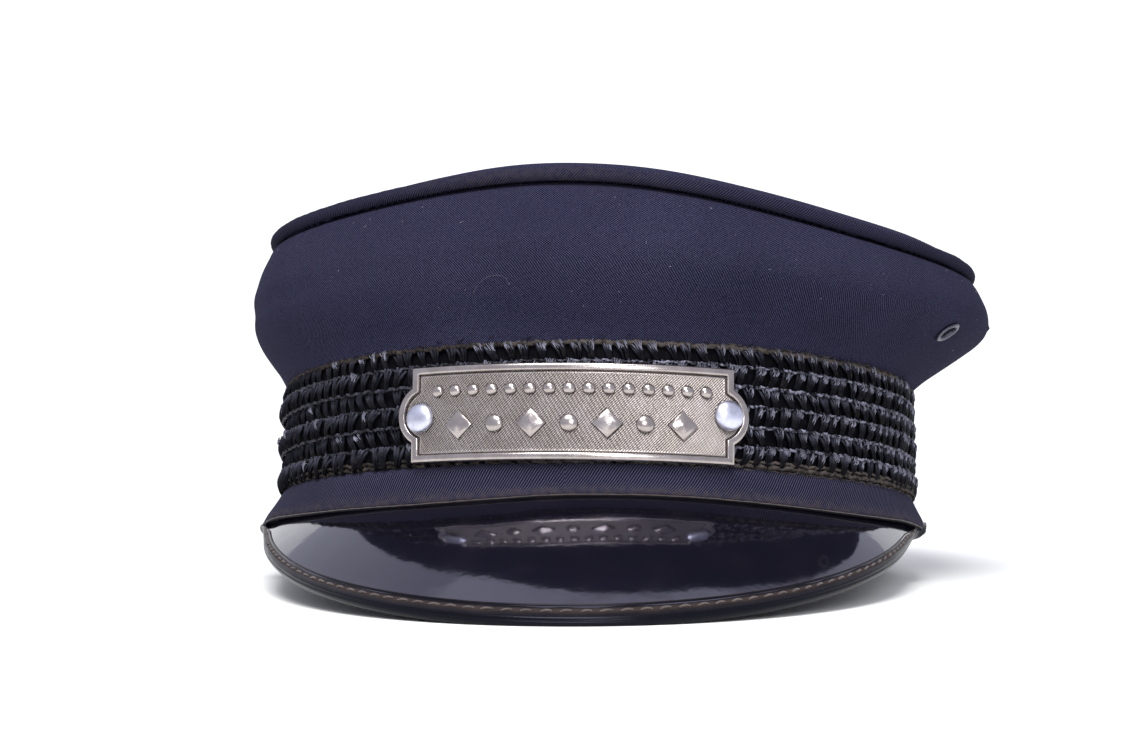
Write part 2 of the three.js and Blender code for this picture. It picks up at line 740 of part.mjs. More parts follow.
add("head_band", flattened(ring(headBandSection), lean), CLOTH);
add("braid_band", ring(braidSection), BRAID);
add("crown_side", crownSide(), CLOTH);
add("top_piping", ring(pipingSection), CLOTH);
add("crown_top", crownTop(), CLOTH);
add("visor", visor(), PATENT_LEATHER);
add("visor_binding", flattened(bound, lean), BINDING_LEATHER);
add("visor_welt", visorWelt(), WORN_LEATHER);
add("badge_plate", badgePlate(), NICKEL_SILVER);
add("vent_eyelet", eyelet(), EYELET_METAL, eyeletSeat());

// The wearer's right is at -X
for (const [name, side] of [["right", -1], ["left", 1]]) {
  const along = side * (BADGE_HALF_WIDTH + EAR_REACH - RIVET_INSET);
  add(`badge_rivet_${name}`, rivet(), RIVET_STEEL, {
    point: badgePoint(along, 0, BADGE_FIELD + RIVET_GAP),
    direction: outward(along / BAND_HALF_WIDTH),
  });
}

assembly.rotation.x = -lean;
cap.updateMatrixWorld(true);
const outline = new THREE.Box3().setFromObject(assembly, true);
const middle = outline.getCenter(new THREE.Vector3());
assembly.position.set(-middle.x, -middle.y, -outline.min.z);

export default cap;
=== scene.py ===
"""The looks of a conductor's cap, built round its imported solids.

A soft crown of navy twill stands over a band with a woven black braid, a bound
patent leather visor and a curved badge plate on two domed rivets.
"""

import logging
import math
import random
from dataclasses import dataclass, field
from enum import Enum
from typing import Any, Callable, Iterable, Optional, Sequence, Union

import bmesh
import bpy
from mathutils import Matrix, Vector, noise

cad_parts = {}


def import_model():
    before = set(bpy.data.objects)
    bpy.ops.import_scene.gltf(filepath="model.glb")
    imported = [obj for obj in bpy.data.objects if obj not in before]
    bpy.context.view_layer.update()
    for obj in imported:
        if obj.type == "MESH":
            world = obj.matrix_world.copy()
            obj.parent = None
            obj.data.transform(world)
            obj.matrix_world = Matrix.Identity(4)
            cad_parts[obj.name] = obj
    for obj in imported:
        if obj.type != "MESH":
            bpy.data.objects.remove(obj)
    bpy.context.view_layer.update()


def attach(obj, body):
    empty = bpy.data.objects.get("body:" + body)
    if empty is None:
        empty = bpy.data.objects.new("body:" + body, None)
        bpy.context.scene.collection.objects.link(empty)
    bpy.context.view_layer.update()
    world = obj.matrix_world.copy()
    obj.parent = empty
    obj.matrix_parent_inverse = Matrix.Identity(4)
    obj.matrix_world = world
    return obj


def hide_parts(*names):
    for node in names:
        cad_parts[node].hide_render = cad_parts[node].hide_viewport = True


LOG = logging.getLogger("cap")
MM = 0.001
TURN = 2 * math.pi
Place = tuple[float, float]


class Slot(Enum):
    """The record's material slots."""

    CLOTH = "cloth"
    BRAID = "braid"
    PATENT = "patent_leather"
    BINDING = "binding_leather"
    WORN = "worn_leather"
    NICKEL = "nickel_silver"
    RIVET = "rivet_steel"
    EYELET = "eyelet_metal"


class Side(Enum):
    """A side of the cap, as the sign of its X."""

    WEARERS_RIGHT = -1
    WEARERS_LEFT = 1


# Plain helpers


def blend(low: float, high: float, share: float) -> float:
    """The number a share of the way from low to high."""
    return low + (high - low) * share


def smooth(share: float) -> float:
    """A share from 0 to 1, eased at both ends, of any number."""
    share = min(max(share, 0.0), 1.0)
    return share * share * (3 - 2 * share)


def bell(distance: float, width: float) -> float:
    """A soft bump: 1 at distance 0, and near 0 past twice the width."""
    return math.exp(-((distance / width) ** 2))


def through(table: Sequence[Place], at: float) -> float:
    """A smooth curve through the points of a table.

    Args:
        table: pairs of place and value, in rising order of place.
        at: the place to read.

    Returns:
        The value there, held at the table's ends.
    """
    if at <= table[0][0]:
        return table[0][1]
    if at >= table[-1][0]:
        return table[-1][1]
    i = next(k for k in range(1, len(table)) if table[k][0] >= at)
    (x0, y0), (x1, y1) = table[i - 1], table[i]
    before, after = table[max(i - 2, 0)], table[min(i + 1, len(table) - 1)]
    span = x1 - x0
    slope0 = (y1 - before[1]) / (x1 - before[0]) * span
    slope1 = (after[1] - y0) / (after[0] - x0) * span
    t = (at - x0) / span
    return (
        y0 * (2 * t**3 - 3 * t**2 + 1)
        + slope0 * (t**3 - 2 * t**2 + t)
        + y1 * (3 * t**2 - 2 * t**3)
        + slope1 * (t**3 - t**2)
    )


def ripple(point: Vector, size: float, seed: float = 0.0) -> float:
    """Smooth noise from -1 to 1 at a point in millimetres, with lumps of a size."""
    return noise.noise(point / size + Vector((seed, seed * 1.7, -seed)))


def circle(sides: int) -> list[float]:
    """Even turns round a circle, from 0."""
    return [TURN * k / sides for k in range(sides)]


# The cap's form, shared with its solids


@dataclass(frozen=True)
class CapForm:
    """Sizes and lines of the cap in its own frame, in millimetres, front towards -Y.

    Angles go round the head from the front, positive towards the wearer's left.
    """

    # How the resting cap stands in the row frame
    lean: float = 0.13972368
    stand: tuple[float, float, float] = (-6.44, 8.8593, 13.5916)

    # The band: half axes of the braid's face, wall, heights, and the depth of its ridges
    half_width: float = 95.0
    half_length: float = 102.5
    wall: float = 2.6
    strip: float = 8.8
    strip_back: float = 0.6
    braid: float = 31.75
    seat: float = -2.0
    ridge: float = 0.9
    ridge_slant: float = 0.6

    # The crown: its height, what that loses and gains round the head, and its overhang
    crown: float = 41.3
    crown_lean: float = 7.0
    front_fall: float = 9.4
    front_peak: float = 9.9
    right_sink: float = 1.7
    slump: float = 6.2
    side_hang: float = 17.4
    front_hang: float = 10.5
    rear_hang: float = 20.5
    piping: float = 1.75

    # The seam of the visor: its corners, how they draw the strip out and down, and its waves
    corner: float = 1.43
    corner_reach: float = 0.32
    right_flare: float = 5.8
    left_flare: float = 4.0
    corner_drop: float = 1.6
    seam_waves: tuple[Place, ...] = (
        (-1.9, 0.0), (-1.6, 1.1), (-1.3, 1.1), (-1.15, 0.8), (-1.0, -0.1), (-0.8, -0.7), (-0.5, -1.0),
        (-0.25, -0.4), (0.0, 0.7), (0.3, 0.7), (0.6, -0.2), (0.85, -0.7), (1.05, -0.3), (1.2, 0.4),
        (1.35, 0.2), (1.9, 0.0),
    )

    # The visor: the arc of its edge, its slope, and the width of its binding
    visor_half: float = 94.5
    visor_turn: float = 1.8
    visor_start: float = 15.0
    visor_arc: float = 129.8
    visor_length: float = 44.9
    visor_fall: float = 32.3
    visor_tilt: float = 0.02
    visor_puff: float = 1.2
    seam_step: float = 0.045
    binding_width: float = 6.0

    # The badge: its foot over the strip, half its height, and how it has slipped and turned
    badge_foot: float = 1.2
    badge_half: float = 12.5
    badge_slip: Place = (1.0, -0.75)
    badge_roll: float = 0.008

    # Share of the height, share of the overhang and share of the lean, up the crown's side
    profile: tuple[tuple[float, float, float], ...] = (
        (0.0, 0.0, 0.0), (0.1, 0.17, 0.07), (0.2, 0.39, 0.14), (0.3, 0.62, 0.3),
        (0.4, 0.81, 0.55), (0.5, 0.94, 0.85), (0.6, 1.0, 0.92), (0.7, 0.97, 0.97),
        (0.8, 0.9, 0.97), (0.9, 0.8, 1.0), (1.0, 0.69, 1.0),
    )
    # Share of the height and of the ridges' depth, up the braid
    ridges: tuple[Place, ...] = (
        (0.0, 0.0), (0.03, 0.45), (0.085, 1.0), (0.25, 0.0), (0.415, 1.0),
        (0.58, 0.0), (0.75, 1.0), (0.92, 0.1), (1.0, 0.0),
    )

    def world(self, point: Vector) -> Vector:
        """A point of the cap's own frame in the row frame, in metres."""
        turned = Matrix.Rotation(-self.lean, 3, "X") @ point
        return (turned + Vector(self.stand)) * MM

    def on_table(self, point: Vector) -> Vector:
        """A point of the cap's own frame in the row frame, no lower than the table.

        Args:
            point: the point, in millimetres.

        Returns:
            The point there, in metres.
        """
        placed = self.world(point)
        placed.z = max(placed.z, 0.0)
        return placed

    def turned(self, direction: Vector) -> Vector:
        """A direction of the cap's own frame in the row frame."""
        return Matrix.Rotation(-self.lean, 3, "X") @ direction

    def around(self, angle: float, out: float, up: float, lean: float = 0.0) -> Vector:
        """A point round the head.

        Args:
            angle: turn from the front.
            out: distance out from the braid's face.
            up: height over the band's foot.
            lean: shift towards the wearer's left.

        Returns:
            The point in the cap's own frame.
        """
        return Vector((
            (self.half_width + out) * math.sin(angle) + lean,
            -(self.half_length + out) * math.cos(angle),
            up,
        ))

    def outward(self, angle: float) -> Vector:
        """The direction straight away from the head at an angle."""
        along = Vector((self.half_length * math.sin(angle), -self.half_width * math.cos(angle), 0))
        return along.normalized()

    @property
    def band_top(self) -> float:
        """Height of the band's upper edge."""
        return self.strip + self.braid

    def pull(self, angle: float) -> float:
        """How strongly the visor's corners pull at an angle, from 0 to 1."""
        return bell(abs(angle) - self.corner, self.corner_reach)

    def flare(self, angle: float) -> float:
        """How far the visor's corners draw the strip out at an angle."""
        return self.pull(angle) * (self.right_flare if angle < 0 else self.left_flare)

    def droop(self, angle: float) -> float:
        """Height of the strip's lower edge at an angle."""
        return through(self.seam_waves, angle) - self.corner_drop * self.pull(angle)

    def braid_face(self, angle: float, rise: float) -> Place:
        """The braid's face.

        Args:
            angle: turn from the front.
            rise: share of the braid's height.

        Returns:
            Distance out and height of the point there.
        """
        hem = 0.3
        depth = self.ridge * (1 - self.ridge_slant * math.sin(angle))
        out = depth * (through(self.ridges, rise) - 1)
        return out, self.strip + hem + rise * (self.braid - 2 * hem)

    def crown_height(self, angle: float) -> float:
        """The height of the crown's seam.

        Args:
            angle: turn from the front.

        Returns:
            Height of the piping's middle over the band there.
        """
        ahead = math.cos(angle)
        fall = self.front_fall * ahead * (1 if ahead > 0 else 1 + 0.7 * ahead)
        peak = self.front_peak * ((1 + ahead) / 2) ** 10
        sink = self.right_sink * max(-math.sin(angle), 0) ** 6
        return self.crown - fall + peak - sink - self.slump * math.sin(angle)

    def crown_face(self, angle: float, rise: float) -> tuple[float, float, float]:
        """The crown's face.

        Args:
            angle: turn from the front.
            rise: share of the crown's height.

        Returns:
            Distance out, height and shift to the wearer's left of the point there.
        """
        gap, tuck = 0.3, 1.0
        ahead = math.cos(angle)
        most = self.front_hang if ahead > 0 else self.rear_hang
        hang = self.side_hang + (most - self.side_hang) * ahead**2
        flare = through([(row[0], row[1]) for row in self.profile], rise)
        lean = through([(row[0], row[2]) for row in self.profile], rise)
        foot = self.band_top + gap
        head = self.band_top + self.crown_height(angle) - self.piping - gap
        return flare * hang - tuck, foot + rise * (head - foot), lean * self.crown_lean

    def piping_centre(self, angle: float) -> tuple[float, float, float]:
        """Out, up and lean of the piping's middle line at an angle."""
        out, _, lean = self.crown_face(angle, 1.0)
        return out - 0.4, self.band_top + self.crown_height(angle), lean

    def visor_line(self, station: float) -> tuple[Vector, Vector, float]:
        """Inner and outer end of the visor's face, at a station from -1 to 1.

        Args:
            station: -1 at the wearer's right corner, 1 at the left one.

        Returns:
            Both ends, and the length between them as a share of the greatest.
        """
        seam = station * self.corner
        tucked = 0.95 * self.flare(seam) - self.wall
        inner = self.around(seam, tucked, self.droop(seam) - 0.6 + 0.35 * self.pull(seam))
        swing = station * math.pi / 2
        outer = Vector((
            self.visor_half * math.sin(swing) + self.visor_turn * math.cos(swing),
            -(self.visor_start + self.visor_arc * math.cos(swing)),
            0,
        ))
        ears = 3.2 * bell(station + 1, 0.11) - 0.6 * bell(station - 1, 0.1)
        outer.x -= ears + 1.4 * bell(station - 0.84, 0.12)
        share = max(inner.y - outer.y, 0) / self.visor_length
        even = inner.z - through(self.seam_waves, seam)
        outer.z = even - self.visor_fall * (1 + self.visor_tilt * math.sin(swing)) * share
        outer.z += 1.2 * bell(abs(station) - 0.75, 0.2) + 3.4 * bell(abs(station) - 1, 0.12)
        return inner, outer, share

    def visor_face(self, station: float, share: float) -> Vector:
        """A point of the visor's face, which is puffed and starts level with its seam.

        Args:
            station: -1 at the wearer's right corner, 1 at the left one.
            share: share of the way out from the seam.

        Returns:
            The point in the cap's own frame.
        """
        inner, outer, length = self.visor_line(station)
        point = inner.lerp(outer, share)
        point.z += self.visor_puff * length * 4 * share * (1 - share)
        sloping = max(share - self.seam_step, 0) / (1 - self.seam_step)
        point.z += self.visor_fall * length * (share - sloping)
        return point

    def visor_normal(self, station: float, share: float) -> Vector:
        """The direction in which the visor's face looks.

        Args:
            station: -1 at the wearer's right corner, 1 at the left one.
            share: share of the way out from the seam.

        Returns:
            The direction in the cap's own frame.
        """
        step = 0.01
        middle = min(max(station, step - 1), 1 - step)
        along = self.visor_face(middle + step, share) - self.visor_face(middle - step, share)
        across = self.visor_face(middle, share + step) - self.visor_face(middle, share - step)
        return across.cross(along).normalized()

    def binding_share(self, station: float) -> float:
        """Share of the visor's length that its binding covers."""
        inner, outer, _ = self.visor_line(station)
        return min(self.binding_width / (outer - inner).length, 0.45)

    def binding_point(self, station: float, cover: float, proud: float) -> Vector:
        """A point on the binding.

        Args:
            station: -1 at the wearer's right corner, 1 at the left one.
            cover: binding widths back from the outer edge, from 0 to 1.
            proud: millimetres over the visor's face.

        Returns:
            The point in the cap's own frame.
        """
        along = 1 - self.binding_share(station) * cover
        return self.visor_face(station, along) + self.visor_normal(station, along) * proud

    def badge_point(self, along: float, rise: float, proud: float) -> Vector:
        """A point of the badge.

        Args:
            along: place along its arc, from its middle.
            rise: place up from its middle.
            proud: distance over its back.

        Returns:
            The point in the cap's own frame.
        """
        slipped = along + self.badge_slip[0]
        height = rise + self.badge_slip[1] - self.badge_roll * along
        middle = self.strip + self.badge_foot + self.badge_half
        return self.around(slipped / self.half_width, 0.5 + proud, middle + height)


FORM = CapForm()


# Meshes


class Maker:
    """A mesh in the making, drawn with bmesh operators."""

    def __init__(self) -> None:
        """Starts with an empty mesh that has a map for its weave."""
        self.bm = bmesh.new()
        self.map = self.bm.loops.layers.uv.new("weave")
        self.wear = self.bm.verts.layers.float.new("wear")

    def draw(
        self,
        rows: Sequence[Sequence[Vector]],
        closed: bool = False,
        joined: bool = False,
        ends: bool = False,
        scale: Place = (1.0, 1.0),
        wear: Optional[Callable[[int, int], float]] = None,
    ) -> list[bmesh.types.BMFace]:
        """Draws a surface out of its first row, row by row.

        Args:
            rows: points of each row, in metres, all rows of one length.
            closed: whether each row's last point joins its first.
            joined: whether the last row joins the first.
            ends: whether open ends are filled.
            scale: metres on the weave's map for one step along a row and for one row.
            wear: how worn the surface is at a row and a column, and on the braid how much painted highlight
                it has there.

        Returns:
            The new faces.
        """
        bm = self.bm
        first = [bm.verts.new(p) for p in rows[0]]
        loop = [bm.edges.new(pair) for pair in zip(first, first[1:])]
        if closed:
            loop.append(bm.edges.new((first[-1], first[0])))
        index = {vert: (0, j) for j, vert in enumerate(first)}
        below, faces = first, []
        drawn = list(rows[1:]) + ([rows[0]] if joined else [])
        for i, row in enumerate(drawn, start=1):
            made = bmesh.ops.extrude_edge_only(bm, edges=loop)["geom"]
            fresh = {g for g in made if isinstance(g, bmesh.types.BMVert)}
            faces += [g for g in made if isinstance(g, bmesh.types.BMFace)]
            above = []
            for j, (vert, place) in enumerate(zip(below, row)):
                upper = next(e.other_vert(vert) for e in vert.link_edges if e.other_vert(vert) in fresh)
                upper.co = place
                index[upper] = (i, j)
                above.append(upper)
            loop = [
                g for g in made
                if isinstance(g, bmesh.types.BMEdge) and g.verts[0] in fresh and g.verts[1] in fresh
            ]
            below = above
        self._lay_map(faces, index, len(first), scale)
        if wear:
            for vert, (i, j) in index.items():
                vert[self.wear] = wear(i % len(rows), j)
        if joined:
            bmesh.ops.remove_doubles(bm, verts=first + below, dist=1e-7)
        if ends:
            rim = [e for e in bm.edges if e.is_boundary]
            faces += bmesh.ops.holes_fill(bm, edges=rim, sides=0)["faces"]
        return faces

    def _lay_map(self, faces: list, index: dict, columns: int, scale: Place) -> None:
        """Lays the weave's map by row and column, over the join of closed rows.

        Args:
            faces: the faces to lay it on.
            index: row and column of each vertex.
            columns: points in a row.
            scale: metres on the map for one step along a row and for one row.
        """
        for face in faces:
            columns_here = [index[corner.vert][1] for corner in face.loops]
            over = max(columns_here) - min(columns_here) > 1
            for corner in face.loops:
                i, j = index[corner.vert]
                if over and j == 0:
                    j = columns
                corner[self.map].uv = (j * scale[0], i * scale[1])

    def lay_flat(self, scale: float = 1.0) -> None:
        """Lays the weave's map from above.

        Args:
            scale: metres on the map for one unit of the mesh.
        """
        for face in self.bm.faces:
            for corner in face.loops:
                corner[self.map].uv = (corner.vert.co.x * scale, corner.vert.co.y * scale)

    def spin(self, profile: Sequence[Place], steps: int, closed: bool = False) -> None:
        """Spins a profile of radius and height, in metres, about Z.

        Args:
            profile: points from the middle outwards, or round a closed section.
            steps: columns round the axis.
            closed: whether the profile's last point joins its first.
        """
        bm = self.bm
        verts = [bm.verts.new((radius, 0, height)) for radius, height in profile]
        edges = [bm.edges.new(pair) for pair in zip(verts, verts[1:])]
        if closed:
            edges.append(bm.edges.new((verts[-1], verts[0])))
        bmesh.ops.spin(
            bm, geom=verts + edges, cent=(0, 0, 0), axis=(0, 0, 1), angle=TURN, steps=steps, use_merge=True
        )
        bmesh.ops.remove_doubles(bm, verts=bm.verts[:], dist=1e-7)

    def move(self, matrix: Matrix) -> None:
        """Moves the whole mesh by a matrix."""
        bmesh.ops.transform(self.bm, matrix=matrix, verts=self.bm.verts[:])

    def outside(self) -> None:
        """Turns every face of a closed mesh outwards."""
        bmesh.ops.recalc_face_normals(self.bm, faces=self.bm.faces[:])

    def look(self, away_from: Vector) -> None:
        """Turns the faces of an open shell outwards.

        Args:
            away_from: a point inside it.
        """
        self.outside()
        faces = self.bm.faces[:]
        sense = sum((f.calc_center_median() - away_from).dot(f.normal) * f.calc_area() for f in faces)
        if sense < 0:
            bmesh.ops.reverse_faces(self.bm, faces=faces)

    def crisp(self, degrees: float) -> None:
        """Marks sharp edges.

        Args:
            degrees: the turn from which an edge is sharp.
        """
        limit = math.radians(degrees)
        for edge in self.bm.edges:
            edge.smooth = not (edge.is_manifold and edge.calc_face_angle(0) > limit)

    def mesh(self, name: str) -> bpy.types.Mesh:
        """Finishes the mesh, smooth shaded, and uses it up.

        Args:
            name: its name.

        Returns:
            The mesh.
        """
        for face in self.bm.faces:
            face.smooth = True
        data = bpy.data.meshes.new(name)
        self.bm.to_mesh(data)
        self.bm.free()
        return data

    def strew(self, pattern: "Maker", places: Iterable[Matrix]) -> None:
        """Adds a copy of another mesh at each of many places.

        Args:
            pattern: the mesh to repeat, which is used up.
            places: where each copy goes.
        """
        sample = pattern.mesh("pattern")
        for place in places:
            copy = sample.copy()
            copy.transform(place)
            self.bm.from_mesh(copy)
            bpy.data.meshes.remove(copy)
        bpy.data.meshes.remove(sample)


def set_on(origin: Vector, along: Vector, outward: Vector, scale: Sequence[float] = (1, 1, 1)) -> Matrix:
    """The place of a small piece on a surface.

    Args:
        origin: where the piece's own origin goes, in metres.
        along: where its X goes.
        outward: where its Y goes.
        scale: its size along its own axes.

    Returns:
        The matrix that sets it there.
    """
    x = along.normalized()
    y = (outward - x * outward.dot(x)).normalized()
    z = x.cross(y)
    turn = Matrix((x, y, z)).transposed().to_4x4()
    return Matrix.Translation(origin) @ turn @ Matrix.Diagonal((*scale, 1))


def facing(place: Vector, direction: Vector) -> Matrix:
    """The matrix that sets a piece spun about Z at a place, looking in a direction."""
    return Matrix.Translation(place) @ direction.to_track_quat("Z", "Y").to_matrix().to_4x4()


def cord_rings(
    path: Sequence[Vector], radius: Callable[[int, float], float], sides: int
) -> list[list[Vector]]:
    """Rings of points round a path that runs mostly level.

    Args:
        path: points of the middle line, in metres.
        radius: the radius at a point of the path and a turn round it, in metres.
        sides: points in each ring.

    Returns:
        One ring for each point of the path.
    """
    rows = []
    last = len(path) - 1
    for i, point in enumerate(path):
        run = (path[min(i + 1, last)] - path[max(i - 1, 0)]).normalized()
        aside = run.cross(Vector((0, 0, 1)))
        aside = aside.normalized() if aside.length > 1e-6 else Vector((1, 0, 0))
        top = aside.cross(run)
        rows.append([
            point + (aside * math.cos(turn) + top * math.sin(turn)) * radius(i, turn)
            for turn in circle(sides)
        ])
    return rows


def upright_rings(path: Sequence[Vector], girths: Sequence[float], sides: int) -> list[list[Vector]]:
    """Level rings of points round a path that runs mostly upwards.

    Args:
        path: points of the middle line, in metres.
        girths: the radius at each of them, in metres.
        sides: points in each ring.

    Returns:
        One ring for each point of the path.
    """
    return [
        [point + Vector((girth * math.cos(turn), girth * math.sin(turn), 0)) for turn in circle(sides)]
        for point, girth in zip(path, girths)
    ]


# Shaders


class Wire:
    """A shader socket that takes part in Python expressions."""

    def __init__(self, shader: "Shader", socket: bpy.types.NodeSocket) -> None:
        """Wraps an output socket of a shader's node."""
        self.shader = shader
        self.socket = socket

    def maths(self, operation: str, *values: "Value") -> "Wire":
        """The result of a Math node on values."""
        return self.shader.node("ShaderNodeMath", {"operation": operation}, dict(enumerate(values)))

    def __add__(self, other: "Value") -> "Wire":
        """Sum."""
        return self.maths("ADD", self, other)

    __radd__ = __add__

    def __sub__(self, other: "Value") -> "Wire":
        """Difference."""
        return self.maths("SUBTRACT", self, other)

    def __rsub__(self, other: "Value") -> "Wire":
        """Difference from a number."""
        return self.maths("SUBTRACT", other, self)

    def __mul__(self, other: "Value") -> "Wire":
        """Product."""
        return self.maths("MULTIPLY", self, other)

    __rmul__ = __mul__

    def __truediv__(self, other: "Value") -> "Wire":
        """Quotient."""
        return self.maths("DIVIDE", self, other)

    def wave(self, length: float) -> "Wire":
        """A sine wave from 0 to 1 with a wavelength."""
        return self.maths("SINE", self * (TURN / length)) * 0.5 + 0.5

    def between(self, low: float, high: float) -> "Wire":
        """How far the value is from low to high, eased and held from 0 to 1."""
        settings = {"clamp": True, "interpolation_type": "SMOOTHSTEP"}
        return self.shader.node("ShaderNodeMapRange", settings, {0: self, 1: low, 2: high})


Value = Union[Wire, float, tuple]


class Shader:
    """A material's node tree round one Principled shader."""

    def __init__(self, name: str) -> None:
        """Makes a material with its shader and output.

        Args:
            name: the material's name.
        """
        self.material = bpy.data.materials.new(name)
        self.material.use_nodes = True
        self.tree = self.material.node_tree
        self.tree.nodes.clear()
        self.surface = self.tree.nodes.new("ShaderNodeBsdfPrincipled")
        output = self.tree.nodes.new("ShaderNodeOutputMaterial")
        self.tree.links.new(self.surface.outputs[0], output.inputs[0])

    def node(
        self,
        kind: str,
        settings: Optional[dict[str, Any]] = None,
        sockets: Optional[dict[Union[str, int], Value]] = None,
        out: Union[str, int] = 0,
    ) -> Wire:
        """Adds a node.

        Args:
            kind: the node's type.
            settings: its properties.
            sockets: values or links of its inputs, by name or number.
            out: the output that is wanted.

        Returns:
            That output.
        """
        made = self.tree.nodes.new(kind)
        for key, value in (settings or {}).items():
            setattr(made, key, value)
        for key, value in (sockets or {}).items():
            self.feed(made.inputs[key], value)
        return Wire(self, made.outputs[out])

    def feed(self, socket: bpy.types.NodeSocket, value: Value) -> None:
        """Links a wire to a socket, or sets its value.

        Args:
            socket: the input socket.
            value: a wire, a number, or a colour of three numbers.
        """
        if isinstance(value, Wire):
            self.tree.links.new(value.socket, socket)
        elif isinstance(value, tuple) and len(socket.default_value) == 4 and len(value) == 3:
            socket.default_value = (*value, 1)
        else:
            socket.default_value = value

    def dress(self, **values: Value) -> None:
        """Feeds sockets of the Principled shader, named with underscores for spaces."""
        for key, value in values.items():
            self.feed(self.surface.inputs[key.replace("_", " ")], value)

    def point(self) -> Wire:
        """The point on the piece, in metres."""
        return self.node("ShaderNodeTexCoord", out="Object")

    def woven(self) -> tuple[Wire, Wire]:
        """The piece's weave map.

        Returns:
            Both places on it, in millimetres.
        """
        place = self.node("ShaderNodeUVMap", {"uv_map": "weave"})
        parts = self.node("ShaderNodeSeparateXYZ", {}, {0: place})
        other = Wire(self, parts.socket.node.outputs[1])
        return parts * 1000.0, other * 1000.0

    def worn(self) -> Wire:
        """How worn the piece is, and on the braid how much painted highlight it has, from its own
        attribute.
        """
        return self.node("ShaderNodeAttribute", {"attribute_name": "wear"}, out="Fac")

    def cloud(self, size_mm: float, detail: float = 2.0, rough: float = 0.5) -> Wire:
        """Noise with lumps of a size.

        Args:
            size_mm: the size, in millimetres.
            detail: how many finer layers it has.
            rough: how strong those are.

        Returns:
            A value from 0 to 1.
        """
        sockets = {"Vector": self.point(), "Scale": 1000.0 / size_mm, "Detail": detail, "Roughness": rough}
        return self.node("ShaderNodeTexNoise", {}, sockets, "Fac")

    def streaks(self, across: Wire, along: Wire, fine: float, long: float, detail: float = 2.0) -> Wire:
        """Noise that is drawn out like fibres.

        Args:
            across: place across the fibres.
            along: place along them.
            fine: their width.
            long: their length.
            detail: how many finer layers the noise has.

        Returns:
            A value from 0 to 1.
        """
        place = self.node("ShaderNodeCombineXYZ", {}, {0: across / fine, 1: along / long})
        return self.node("ShaderNodeTexNoise", {}, {"Vector": place, "Scale": 1.0, "Detail": detail}, "Fac")

    def specks(self, size_mm: float, radius: float) -> Wire:
        """Small scattered specks.

        Args:
            size_mm: the usual distance between them, in millimetres.
            radius: their radius as a share of that.

        Returns:
            A value that is 1 inside them and 0 outside.
        """
        sockets = {"Vector": self.point(), "Scale": 1000.0 / size_mm}
        far = self.node("ShaderNodeTexVoronoi", {}, sockets, "Distance")
        return 1 - far.between(radius * 0.6, radius)

    def mix(self, share: Value, low: Value, high: Value) -> Wire:
        """A colour a share of the way from low to high."""
        made = self.node("ShaderNodeMix", {"data_type": "RGBA"}, {0: share, 6: low, 7: high})
        return Wire(self, made.socket.node.outputs[2])

    def bump(self, height: Wire, depth_mm: float, strength: float = 1.0) -> Wire:
        """A normal that is bent by relief.

        Args:
            height: the relief, from 0 to 1.
            depth_mm: its depth, in millimetres.
            strength: how much of it is used.

        Returns:
            The normal.
        """
        sockets = {"Height": height, "Distance": depth_mm * MM, "Strength": strength}
        return self.node("ShaderNodeBump", {}, sockets, "Normal")


@dataclass(frozen=True)
class TwillFinish:
    """Navy wool twill with fine slanting ribs, with painted light on its threads' tops and painted shade
    between them.
    """

    name: str = "navy_twill"
    # Colours in the weave's grooves and on its threads' tops: painted shade and painted light
    deep: tuple = (0.0042, 0.0042, 0.0130)
    light: tuple = (0.051, 0.0495, 0.0895)
    rib: float = 0.8
    crossing: float = 0.5
    dust: float = 0.25
    dust_colour: tuple = (0.085, 0.066, 0.055)
    lint_colour: tuple = (0.35, 0.35, 0.4)
    faded: float = 1.2

    def material(self) -> bpy.types.Material:
        """The twill's material.

        Returns:
            The material.
        """
        s = Shader(self.name)
        u, v = s.woven()
        drift = s.cloud(6.0) * 0.6
        rib = (u - v + drift).wave(self.rib)
        cross = (u + v + drift).wave(self.rib * 0.93)
        weave = rib * (1 - self.crossing) + cross * self.crossing
        fuzz = s.cloud(0.42, 2.0, 0.6)
        height = weave * 0.6 + fuzz * 0.4
        patch = s.cloud(30.0, 2.0).between(0.3, 0.75)
        lit = s.mix(patch, self.light, tuple(self.faded * c for c in self.light))
        # The weave's relief sets its colour too: painted shade in its grooves, painted light on its
        # threads' tops
        cloth = s.mix(height.between(0.42, 0.74), self.deep, lit)
        lint = s.specks(4.5, 0.03) * s.cloud(9.0).between(0.45, 0.6)
        worn = s.worn().between(0.0, 1.0) * s.cloud(1.6, 3.0).between(0.3, 0.62)
        dusty = s.mix(worn * self.dust, cloth, self.dust_colour)
        s.dress(
            Base_Color=s.mix(lint * 0.45, dusty, self.lint_colour), Roughness=0.95,
            Specular_IOR_Level=0.03, Normal=s.bump(height, 0.16, 0.8),
        )
        return s.material


